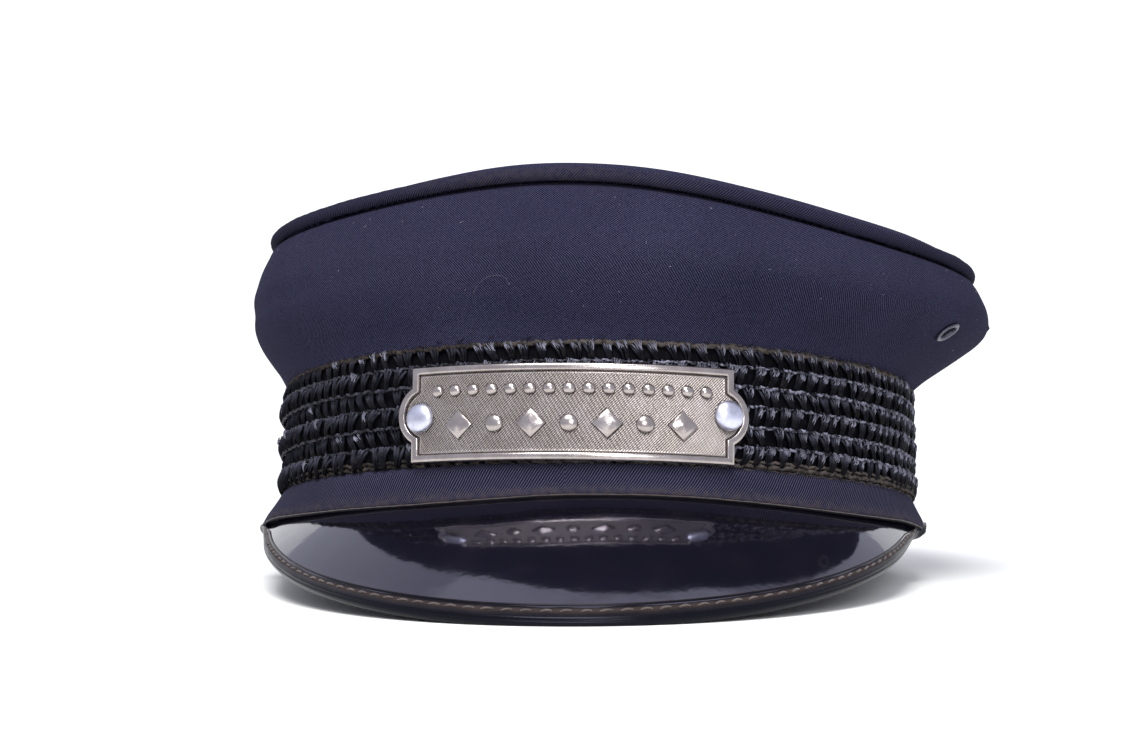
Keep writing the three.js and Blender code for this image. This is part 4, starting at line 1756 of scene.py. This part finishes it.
    def build_cords(self) -> list[bpy.types.Object]:
        """Builds the level cords between the tufts, and the dusty edges above and below, both with a
        painted highlight.

        Returns:
            The pieces.
        """
        inner, edges = Maker(), Maker()
        for band, radius in enumerate(self.cord_radii, start=1):
            self.twist(inner, Rope(band / self.bands, 0.38, radius, 230, 0.3))
        for rope in self.edge_ropes:
            self.twist(edges, rope)
        inner.outside()
        edges.outside()
        return [
            hang(inner, "braid_cords", self.wardrobe.cord, Slot.BRAID),
            hang(edges, "braid_selvages", self.wardrobe.selvage, Slot.BRAID),
        ]

    def build(self) -> list[bpy.types.Object]:
        """All pieces of the braid."""
        return [self.build_ground(), *self.build_tufts(), *self.build_cords()]


@dataclass
class Visor:
    """The patent leather visor, its binding, its stitches and the welt at its seam."""

    wardrobe: Wardrobe
    stations: int = 150
    end: float = 0.985
    thick: float = 1.8
    leaf_rows: int = 20
    under_binding: float = 0.35
    stitch_length: float = 2.9
    stitch_pitch: float = 4.7
    stitch_radius: float = 0.30
    stitch_cover: float = 0.605
    stitch_skew: float = 7.0
    welt_end: float = 0.93
    welt_radius: float = 0.25
    thread_radius: float = 0.13
    # Binding widths back from the edge, height over the leaf, and wear: a bead and groove, a seat for
    # the stitches, a second bead, the rolled edge and the flat underside
    binding: tuple[tuple[float, float, float], ...] = (
        (1.0, -0.15, 0.3), (0.99, 0.15, 0.6), (0.965, 0.34, 0.7), (0.93, 0.36, 0.5), (0.90, 0.20, 0.2),
        (0.87, -0.02, 0.0), (0.81, 0.02, 0.1), (0.75, 0.16, 0.5), (0.68, 0.18, 0.9), (0.63, 0.08, 1.0),
        (0.58, 0.08, 1.0), (0.52, 0.20, 0.9), (0.44, 0.30, 0.55), (0.34, 0.33, 0.35), (0.24, 0.28, 0.25),
        (0.18, 0.18, 0.15), (0.14, -0.06, 0.05), (0.118, -0.32, 0.0), (0.095, -0.36, 0.0),
        (0.06, -0.25, 0.0), (0.025, -0.36, 0.0), (-0.005, -0.68, 0.0), (-0.018, -1.15, 0.0),
        (-0.01, -1.7, 0.0), (0.03, -2.2, 0.0), (0.09, -2.5, 0.0), (0.2, -2.6, 0.0), (0.5, -2.6, 0.0),
        (0.9, -2.6, 0.0), (1.0, -2.45, 0.0), (1.0, -1.95, 0.0),
    )

    def stations_at(self, count: int, end: float) -> list[float]:
        """Stations from one corner to the other."""
        return [end * (2 * i / count - 1) for i in range(count + 1)]

    def leaf_point(self, station: float, share: float, depth: float) -> Vector:
        """A point of the leaf, which ends under its binding.

        Args:
            station: -1 at the wearer's right corner, 1 at the left one.
            share: share of the way out from the seam.
            depth: 0 on the glossy face, and the thickness on the underside.

        Returns:
            The point in the cap's own frame.
        """
        along = share * (1 - self.under_binding * FORM.binding_share(station))
        normal = FORM.visor_normal(station, along)
        point = FORM.visor_face(station, along)
        wave = 0.0 if depth else 0.10 * ripple(point, 26, 4.0) + 0.03 * ripple(point, 9, 1.0)
        return point + normal * (wave - depth)

    def build_leather(self) -> bpy.types.Object:
        """Builds the leaf of patent leather, closed underneath.

        Returns:
            The piece.
        """
        maker = Maker()
        stations = self.stations_at(self.stations, self.end)
        shares = [k / self.leaf_rows for k in range(self.leaf_rows + 1)]
        runs = [(share, 0.0) for share in shares] + [(share, self.thick) for share in reversed(shares)]
        rows = [[FORM.world(self.leaf_point(station, *run)) for station in stations] for run in runs]

        def wear(i: int, j: int) -> float:
            """How dull the leaf is."""
            return self.haze(shares[i], stations[j]) if i < len(shares) else 0.5

        maker.draw(rows, joined=True, ends=True, scale=(1.6 * MM, 2 * MM), wear=wear)
        maker.outside()
        maker.crisp(40)
        return hang(maker, "visor_leaf", self.wardrobe.patent, Slot.PATENT, ["visor"])

    def haze(self, share: float, station: float) -> float:
        """How dull the leaf is: along its seam, beside its binding and in its corners.

        Args:
            share: share of the way out from the seam.
            station: -1 at the wearer's right corner, 1 at the left one.

        Returns:
            A share from 0 up, which the finish holds under 1.
        """
        seam = 0.55 * bell(share - 0.02, 0.05)
        corner = 0.8 * smooth((abs(station) - 0.7) / 0.25)
        edge = (0.35 + corner) * smooth((share - 0.72) / 0.2)
        return seam + edge + 0.5 * corner * bell(share - 0.1, 0.2)

    def build_binding(self) -> bpy.types.Object:
        """Builds the folded binding, which rests on the table.

        Returns:
            The piece.
        """
        maker = Maker()
        stations = self.stations_at(self.stations * 2, self.end + 0.004)
        rows = []
        for cover, proud, _ in self.binding:
            row = []
            for station in stations:
                point = FORM.binding_point(station, cover, proud)
                point += FORM.visor_normal(station, 0.9) * (0.05 * ripple(point, 7, 3.0))
                row.append(FORM.on_table(point))
            rows.append(row)
        maker.draw(
            rows, joined=True, ends=True, scale=(1.1 * MM, 0.4 * MM), wear=lambda i, j: self.binding[i][2]
        )
        maker.outside()
        return hang(maker, "visor_edge_binding", self.wardrobe.binding, Slot.BINDING, ["visor_binding"])

    def seats(self, proud: float) -> list[tuple[Vector, Vector, Vector]]:
        """Evenly spaced seats for the stitches along the binding.

        Args:
            proud: millimetres over the visor's face.

        Returns:
            Place, direction along and direction outwards of each, in the cap's frame.
        """
        fine = self.stations_at(1200, self.end - 0.01)
        points = [FORM.binding_point(station, self.stitch_cover, proud) for station in fine]
        places, gone, due = [], 0.0, self.stitch_pitch / 2
        for i in range(1, len(points)):
            step = points[i] - points[i - 1]
            gone += step.length
            if gone >= due:
                places.append((points[i], step.normalized(), FORM.visor_normal(fine[i], 0.9)))
                due += self.stitch_pitch
        return places

    def stitch(self) -> Maker:
        """One stitch, sunk at both ends.

        Returns:
            A closed tube round the origin, lying along X with its back towards Y.
        """
        maker = Maker()
        sides, steps = 8, 8
        rings = []
        for i in range(steps + 1):
            share = i / steps
            arch = math.sin(math.pi * share)
            along = self.stitch_length * (share - 0.5) * MM
            lift = (0.36 * arch - 0.14) * MM
            girth = self.stitch_radius * MM * (0.7 + 0.3 * arch)
            rings.append([
                Vector((along, lift + girth * math.sin(turn), girth * math.cos(turn)))
                for turn in circle(sides)
            ])
        maker.draw(rings, closed=True, ends=True, scale=(0.19 * MM, self.stitch_length / steps * MM))
        maker.outside()
        return maker

    def build_stitches(self) -> bpy.types.Object:
        """Builds the row of stitches in the binding.

        Returns:
            The piece.
        """
        maker, dice = Maker(), random.Random(11)
        places = []
        for point, run, away in self.seats(0.1):
            skew = Matrix.Rotation(math.radians(self.stitch_skew + dice.uniform(-4, 4)), 3, away)
            scale = (dice.uniform(0.9, 1.08), dice.uniform(0.8, 1.15), dice.uniform(0.85, 1.15))
            places.append(set_on(FORM.world(point), FORM.turned(skew @ run), FORM.turned(away), scale))
        maker.strew(self.stitch(), places)
        return hang(maker, "binding_stitches", self.wardrobe.thread, Slot.BINDING)

    def build_welt(self) -> list[bpy.types.Object]:
        """Builds the worn welt in the seam, and the thread that lies along its top.

        Returns:
            The pieces.
        """
        welt, thread = Maker(), Maker()
        body, line = [], []
        for station in self.stations_at(240, self.welt_end):
            angle = station * FORM.corner
            flare, droop = FORM.flare(angle), FORM.droop(angle)
            body.append(FORM.world(FORM.around(angle, flare - 0.55, droop - 0.3)))
            foot = FORM.around(angle, flare - 0.35, droop + 0.02)
            foot.z += 0.08 * ripple(foot, 3, 1.0)
            line.append(FORM.world(foot))

        def welt_reach(i: int, turn: float) -> float:
            """The welt's uneven radius."""
            return MM * (self.welt_radius + 0.03 * math.cos(3 * turn + i * 0.11))

        def thread_reach(i: int, turn: float) -> float:
            """The thread's twisted radius."""
            return MM * self.thread_radius * (1 + 0.25 * math.cos(2 * turn + i * 1.3))

        rings = cord_rings(body, welt_reach, 10)
        welt.draw(rings, closed=True, ends=True, scale=(0.4 * MM, 1.1 * MM), wear=lambda i, j: 0.2)
        welt.outside()
        thread.draw(cord_rings(line, thread_reach, 6), closed=True, ends=True, scale=(0.2 * MM, 1.1 * MM))
        thread.outside()
        return [
            hang(welt, "seam_welt", self.wardrobe.welt, Slot.WORN, ["visor_welt"]),
            hang(thread, "seam_thread", self.wardrobe.thread, Slot.WORN),
        ]

    def build(self) -> list[bpy.types.Object]:
        """All pieces of the visor."""
        return [self.build_leather(), self.build_binding(), self.build_stitches(), *self.build_welt()]


class Shape(Enum):
    """A shape of the badge's ornament: its sides, half its width and half its height."""

    LOZENGE = (4, 4.1, 4.2)
    SMALL_STUD = (20, 1.7, 1.7)
    STUD = (24, 2.4, 2.4)


@dataclass
class Badge:
    """The curved badge plate, its raised ornament and its two rivets; lengths in millimetres."""

    wardrobe: Wardrobe
    half_width: float = 42.5
    half_height: float = 12.5
    ear: float = 8.2
    ear_middle: float = 38.5
    field_height: float = 0.9
    bend_columns: int = 64
    # Inset from the last outline, height, and grime: the side, the rounded rim, the groove, the field
    steps: tuple[tuple[float, float, float], ...] = (
        (0.0, 1.15, 0.35), (0.10, 1.38, 0.12), (0.20, 1.54, 0.02), (0.42, 1.64, 0.0), (0.62, 1.66, 0.0),
        (0.42, 1.60, 0.0), (0.14, 1.46, 0.05), (0.10, 1.10, 0.25), (0.05, 0.80, 0.9), (0.20, 0.78, 1.0),
        (0.14, 0.9, 0.25),
    )
    skirt: float = 0.3
    stud_pitch: float = 5.0
    stud_rise: float = 5.9
    lozenge_pitch: float = 9.6
    lozenge_rise: float = -3.0
    rivet_radius: float = 4.0
    rivet_height: float = 2.35
    right_rivet: Place = (-39.9, -0.9)
    left_rivet: Place = (41.0, 0.3)

    def outline(self) -> list[Place]:
        """The plate's outline, a rectangle with a round ear at each end.

        Returns:
            Its corners, anticlockwise.
        """
        corner = math.acos((self.half_width - self.ear_middle) / self.ear)
        ear = [
            (self.ear_middle + self.ear * math.cos(t), self.ear * math.sin(t))
            for t in (corner * (2 * k / 24 - 1) for k in range(25))
        ]
        top = [(self.half_width, self.half_height), (-self.half_width, self.half_height)]
        foot = [(-x, -y) for x, y in top]
        return ear + top + [(-x, y) for x, y in reversed(ear)] + foot

    def build_plate(self) -> bpy.types.Object:
        """Builds the plate: inset again and again from its outline, then bent to the band.

        Returns:
            The piece.
        """
        maker = Maker()
        bm = maker.bm
        plain = bm.verts.layers.float.new("field")
        verts = [bm.verts.new((x, y, 0)) for x, y in self.outline()]
        face = bmesh.ops.contextual_create(bm, geom=verts)["faces"][0]
        back = bmesh.ops.duplicate(bm, geom=[face])["geom"]
        bmesh.ops.reverse_faces(bm, faces=[g for g in back if isinstance(g, bmesh.types.BMFace)])
        height = 0.0
        for inset, level, grime in self.steps:
            if inset:
                bmesh.ops.inset_region(bm, faces=[face], thickness=inset, use_even_offset=True)
            else:
                made = bmesh.ops.extrude_face_region(bm, geom=[face])["geom"]
                bmesh.ops.delete(bm, geom=[face], context="FACES_ONLY")
                face = next(g for g in made if isinstance(g, bmesh.types.BMFace))
            bmesh.ops.translate(bm, verts=face.verts[:], vec=(0, 0, level - height))
            height = level
            for vert in face.verts:
                vert[maker.wear] = grime
        bmesh.ops.inset_region(bm, faces=[face], thickness=0.5, use_even_offset=True)
        for vert in face.verts:
            vert[maker.wear], vert[plain] = 0.12, 1.0
        bmesh.ops.remove_doubles(bm, verts=bm.verts[:], dist=1e-6)
        reach = self.ear_middle + self.ear
        for k in range(1, self.bend_columns):
            at = (blend(-reach, reach, k / self.bend_columns), 0, 0)
            geometry = bm.verts[:] + bm.edges[:] + bm.faces[:]
            bmesh.ops.bisect_plane(bm, geom=geometry, plane_co=at, plane_no=(1, 0, 0), dist=1e-5)
        maker.lay_flat(MM)
        for along, rise, shape in self.ornaments():
            raised = self.ornament(shape)
            raised.transform(Matrix.Translation((along, rise, self.field_height - 0.04)))
            bm.from_mesh(raised)
            bpy.data.meshes.remove(raised)
        for vert in bm.verts:
            vert.co = FORM.world(FORM.badge_point(*vert.co))
        maker.crisp(50)
        return hang(maker, "badge_casting", self.wardrobe.nickel, Slot.NICKEL, ["badge_plate"])

    def ornaments(self) -> list[tuple[float, float, Shape]]:
        """A row of small studs over a row of lozenges and larger studs.

        Returns:
            Place along, place up and shape of each.
        """
        below = (Shape.LOZENGE, Shape.STUD)
        return [
            *(((k - 7) * self.stud_pitch, self.stud_rise, Shape.SMALL_STUD) for k in range(15)),
            *(((k - 3) * self.lozenge_pitch, self.lozenge_rise, below[k % 2]) for k in range(7)),
        ]

    def ornament(self, shape: Shape) -> bpy.types.Mesh:
        """One bevelled stud or lozenge on the flat plate.

        Args:
            shape: whether it is a lozenge or a stud.

        Returns:
            Its mesh round the origin, with dirt round its foot.
        """
        maker = Maker()
        bm = maker.bm
        bm.verts.layers.float.new("field")
        sides, half_width, half_height = shape.value
        bmesh.ops.create_circle(bm, cap_ends=True, radius=1.0, segments=sides)
        face = bm.faces[:][0]
        if face.normal.z < 0:
            bmesh.ops.reverse_faces(bm, faces=[face])
        lozenge = shape is Shape.LOZENGE
        turn = Matrix.Rotation(0 if lozenge else math.pi / sides, 4, "Z")
        spread = Matrix.Diagonal((half_width + self.skirt, half_height + self.skirt, 1, 1))
        bmesh.ops.transform(bm, matrix=spread @ turn, verts=bm.verts[:])
        small = min(half_width, half_height)
        steps = [(self.skirt, 0.02, 1.0), (0.05, 0.10, 1.0)]
        if lozenge:
            steps += [
                (0.12, 0.52, 0.3), (0.12, 0.64, 0.0), (0.7, 0.85, 0.0), (0.8, 1.08, 0.0), (0.8, 1.28, 0.0),
            ]
        else:
            steps += [
                (0.10, 0.44, 0.3), (0.12 * small, 0.68, 0.0), (0.2 * small, 0.88, 0.0),
                (0.26 * small, 1.02, 0.0), (0.24 * small, 1.08, 0.0),
            ]
        for vert in bm.verts:
            vert[maker.wear] = 0.1
        height = 0.0
        for inset, level, grime in steps:
            bmesh.ops.inset_region(
                bm, faces=[face], thickness=inset, use_even_offset=True, use_boundary=True
            )
            bmesh.ops.translate(bm, verts=face.verts[:], vec=(0, 0, level - height))
            height = level
            for vert in face.verts:
                vert[maker.wear] = grime
        return maker.mesh("ornament")

    def build_rivet(self, side: Side) -> bpy.types.Object:
        """Builds a domed rivet head with a small foot.

        Args:
            side: the side of the cap that it is on.

        Returns:
            The piece.
        """
        maker = Maker()
        radius, height, brim = self.rivet_radius, self.rivet_height, 0.5
        profile = [(0.0, 0.0), (radius - 0.15, 0.0), (radius, 0.15), (radius, 0.42)]
        for k in range(1, 12):
            t = math.pi / 2 * k / 12
            profile.append((radius * math.cos(t), brim + (height - brim) * math.sin(t)))
        profile.append((0.0, height))
        maker.spin([(r * MM, z * MM) for r, z in profile], 48)
        maker.outside()
        maker.crisp(50)
        right = side is Side.WEARERS_RIGHT
        along, rise = self.right_rivet if right else self.left_rivet
        place = FORM.world(FORM.badge_point(along, rise, self.field_height + 0.1))
        maker.move(facing(place, FORM.turned(FORM.outward(along / FORM.half_width))))
        which = "right" if right else "left"
        return hang(maker, f"rivet_head_{which}", self.wardrobe.rivet, Slot.RIVET, [f"badge_rivet_{which}"])

    def build(self) -> list[bpy.types.Object]:
        """All pieces of the badge."""
        return [self.build_plate(), *(self.build_rivet(side) for side in Side)]


@dataclass
class Lint:
    """Fine fibres that lie on the cloth, and frayed ends along the braid; lengths in millimetres."""

    wardrobe: Wardrobe
    crown: Crown
    braid: Braid
    seed: int = 23
    fibres: int = 34
    hair_radius: float = 0.012
    frayed: int = 620
    fray_step: float = 0.7

    def fibre(self, maker: Maker, path: Sequence[Vector], radius: float) -> None:
        """Adds one fibre, open at its ends.

        Args:
            maker: the mesh to add it to.
            path: points of its middle line, in metres.
            radius: its radius, which halves at its ends.
        """
        ends = (0, len(path) - 1)

        def girth(i: int, turn: float) -> float:
            """The fibre's radius, in metres."""
            return radius * MM * (0.5 if i in ends else 1.0)

        maker.draw(cord_rings(path, girth, 3), closed=True, scale=(0.1 * MM, 0.5 * MM))

    def close(self, maker: Maker) -> None:
        """Closes the fibres' ends and turns their faces outwards.

        Args:
            maker: the fibres' mesh.
        """
        rim = [e for e in maker.bm.edges if e.is_boundary]
        bmesh.ops.holes_fill(maker.bm, edges=rim, sides=0)
        maker.outside()

    def build_lint(self) -> bpy.types.Object:
        """Builds the lint and one long fine hair on the crown.

        Returns:
            The piece.
        """
        maker, dice = Maker(), random.Random(self.seed)
        for _ in range(self.fibres):
            angle, rise = dice.uniform(-1.5, 1.4), dice.uniform(0.08, 0.93)
            heading, curl = dice.uniform(0, TURN), dice.uniform(-1.5, 1.5)
            length = dice.choice((0.4, 0.5, 0.7, 1.1))
            path = []
            for _ in range(5):
                path.append(FORM.world(self.crown.point(angle, rise) + FORM.outward(angle) * 0.12))
                angle += length / 4 * math.cos(heading) / 105
                rise += length / 4 * math.sin(heading) / 42
                heading += curl / 4
            self.fibre(maker, path, dice.uniform(0.028, 0.05))
        path = []
        for k in range(15):
            turn = math.pi * (0.15 + 0.95 * k / 14)
            angle, rise = 0.05 * math.cos(turn) - 0.21, 0.27 + 0.12 * math.sin(turn)
            path.append(FORM.world(self.crown.point(angle, rise) + FORM.outward(angle) * 0.15))
        self.fibre(maker, path, self.hair_radius)
        self.close(maker)
        return hang(maker, "lint_fibres", self.wardrobe.lint, Slot.CLOTH)

    def build_fray(self) -> bpy.types.Object:
        """Builds the short frayed ends along both edges of the braid.

        Returns:
            The piece.
        """
        maker, dice = Maker(), random.Random(self.seed + 1)
        for _ in range(self.frayed):
            angle = dice.uniform(0, TURN)
            rise = dice.choice((0.0, 1.0)) + dice.uniform(-0.025, 0.03)
            heading = dice.uniform(-0.7, 0.7)
            path = []
            for k in range(4):
                lift = 0.35 + 0.45 * math.sin(math.pi * k / 3) * dice.uniform(0.3, 1.0)
                path.append(FORM.world(self.braid.face(angle, rise, lift)))
                angle += self.fray_step * math.cos(heading) / 100
                rise += self.fray_step * math.sin(heading) / 31
                heading += dice.uniform(-0.6, 0.6)
            self.fibre(maker, path, dice.uniform(0.05, 0.085))
        self.close(maker)
        return hang(maker, "braid_fray", self.wardrobe.selvage, Slot.BRAID)

    def build(self) -> list[bpy.types.Object]:
        """The lint and the fray."""
        return [self.build_lint(), self.build_fray()]


@dataclass(frozen=True)
class Lamp:
    """A square soft light: its place and side in metres, its power and the place it looks at."""

    name: str
    place: tuple[float, float, float]
    side: float
    watts: float
    aim: tuple[float, float, float] = (0.0, 0.0, 0.05)

    def build(self) -> None:
        """Hangs the light in the scene."""
        lamp = bpy.data.lights.new(self.name, "AREA")
        lamp.shape, lamp.size, lamp.energy = "SQUARE", self.side, self.watts
        holder = bpy.data.objects.new(self.name, lamp)
        holder.location = self.place
        holder.rotation_mode = "QUATERNION"
        holder.rotation_quaternion = (Vector(self.aim) - Vector(self.place)).to_track_quat("-Z", "Y")
        bpy.context.scene.collection.objects.link(holder)


@dataclass
class Studio:
    """A pale floor and backdrop, soft lights and the camera at the photograph's angle; in metres."""

    wardrobe: Wardrobe
    half_width: float = 3.0
    floor_depth: float = 1.0
    bend: float = 0.6
    wall_top: float = 0.8
    air_colour: tuple = (0.83, 0.85, 1.0)
    air_strength: float = 0.82
    lamps: tuple[Lamp, ...] = (
        Lamp("key_light", (-0.1, -1.1, 1.6), 0.9, 38.0),
        Lamp("front_light", (0.35, -1.4, 0.55), 0.4, 5.0),
        Lamp("backdrop_light", (0.0, 0.5, 1.3), 1.5, 3.0, (0.0, 1.6, 0.55)),
    )
    camera_place: tuple = (0.04168, -0.59132, 0.04801)
    forward: tuple = (-0.0948, 0.9953, 0.01988)
    right: tuple = (0.99548, 0.0949, -0.00421)
    lens: float = 62.91

    def build_floor(self) -> None:
        """One sheet that is the floor and, far behind, the backdrop."""
        maker = Maker()
        wide, depth, bend = self.half_width, self.floor_depth, self.bend
        profile = [(-wide, 0.0), (0.0, 0.0), (depth, 0.0)]
        for k in range(1, 11):
            t = math.pi / 2 * k / 10
            profile.append((depth + bend * math.sin(t), bend - bend * math.cos(t)))
        profile.append((depth + bend, self.wall_top))
        maker.draw([[Vector((x, y, z)) for y, z in profile] for x in (-wide, 0.0, wide)])
        data = maker.mesh("pale_sheet")
        data.materials.append(self.wardrobe.pale)
        sheet = bpy.data.objects.new("pale_sheet", data)
        bpy.context.scene.collection.objects.link(sheet)

    def build_world(self) -> None:
        """Even light from all round, a little blue."""
        world = bpy.data.worlds.new("studio_air")
        world.use_nodes = True
        air = world.node_tree.nodes["Background"]
        air.inputs["Color"].default_value = (*self.air_colour, 1)
        air.inputs["Strength"].default_value = self.air_strength
        bpy.context.scene.world = world
        bpy.context.scene.view_settings.view_transform = "Standard"

    def build_camera(self) -> None:
        """The camera."""
        lens = bpy.data.cameras.new("camera")
        lens.lens, lens.sensor_width, lens.clip_start = self.lens, 36.0, 0.01
        eye = bpy.data.objects.new("camera", lens)
        forward = Vector(self.forward).normalized()
        right = Vector(self.right)
        right = (right - forward * right.dot(forward)).normalized()
        turn = Matrix((right, right.cross(forward), -forward)).transposed().to_4x4()
        eye.matrix_world = Matrix.Translation(Vector(self.camera_place)) @ turn
        bpy.context.scene.collection.objects.link(eye)
        bpy.context.scene.camera = eye

    def build(self) -> None:
        """The floor, the lights and the camera."""
        self.build_floor()
        self.build_world()
        for lamp in self.lamps:
            lamp.build()
        self.build_camera()


def main() -> None:
    """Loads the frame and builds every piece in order."""
    logging.basicConfig(level=logging.INFO, format="%(message)s")
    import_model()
    wardrobe = Wardrobe()
    crown, braid = Crown(wardrobe), Braid(wardrobe)
    parts = [
        crown, Vent(wardrobe, crown), Band(wardrobe), braid, Visor(wardrobe), Badge(wardrobe),
        Lint(wardrobe, crown, braid),
    ]
    for part in parts:
        pieces = part.build()
        LOG.info("%s: %d pieces", type(part).__name__, len(pieces))
    Studio(wardrobe).build()


if __name__ == "__main__":
    main()
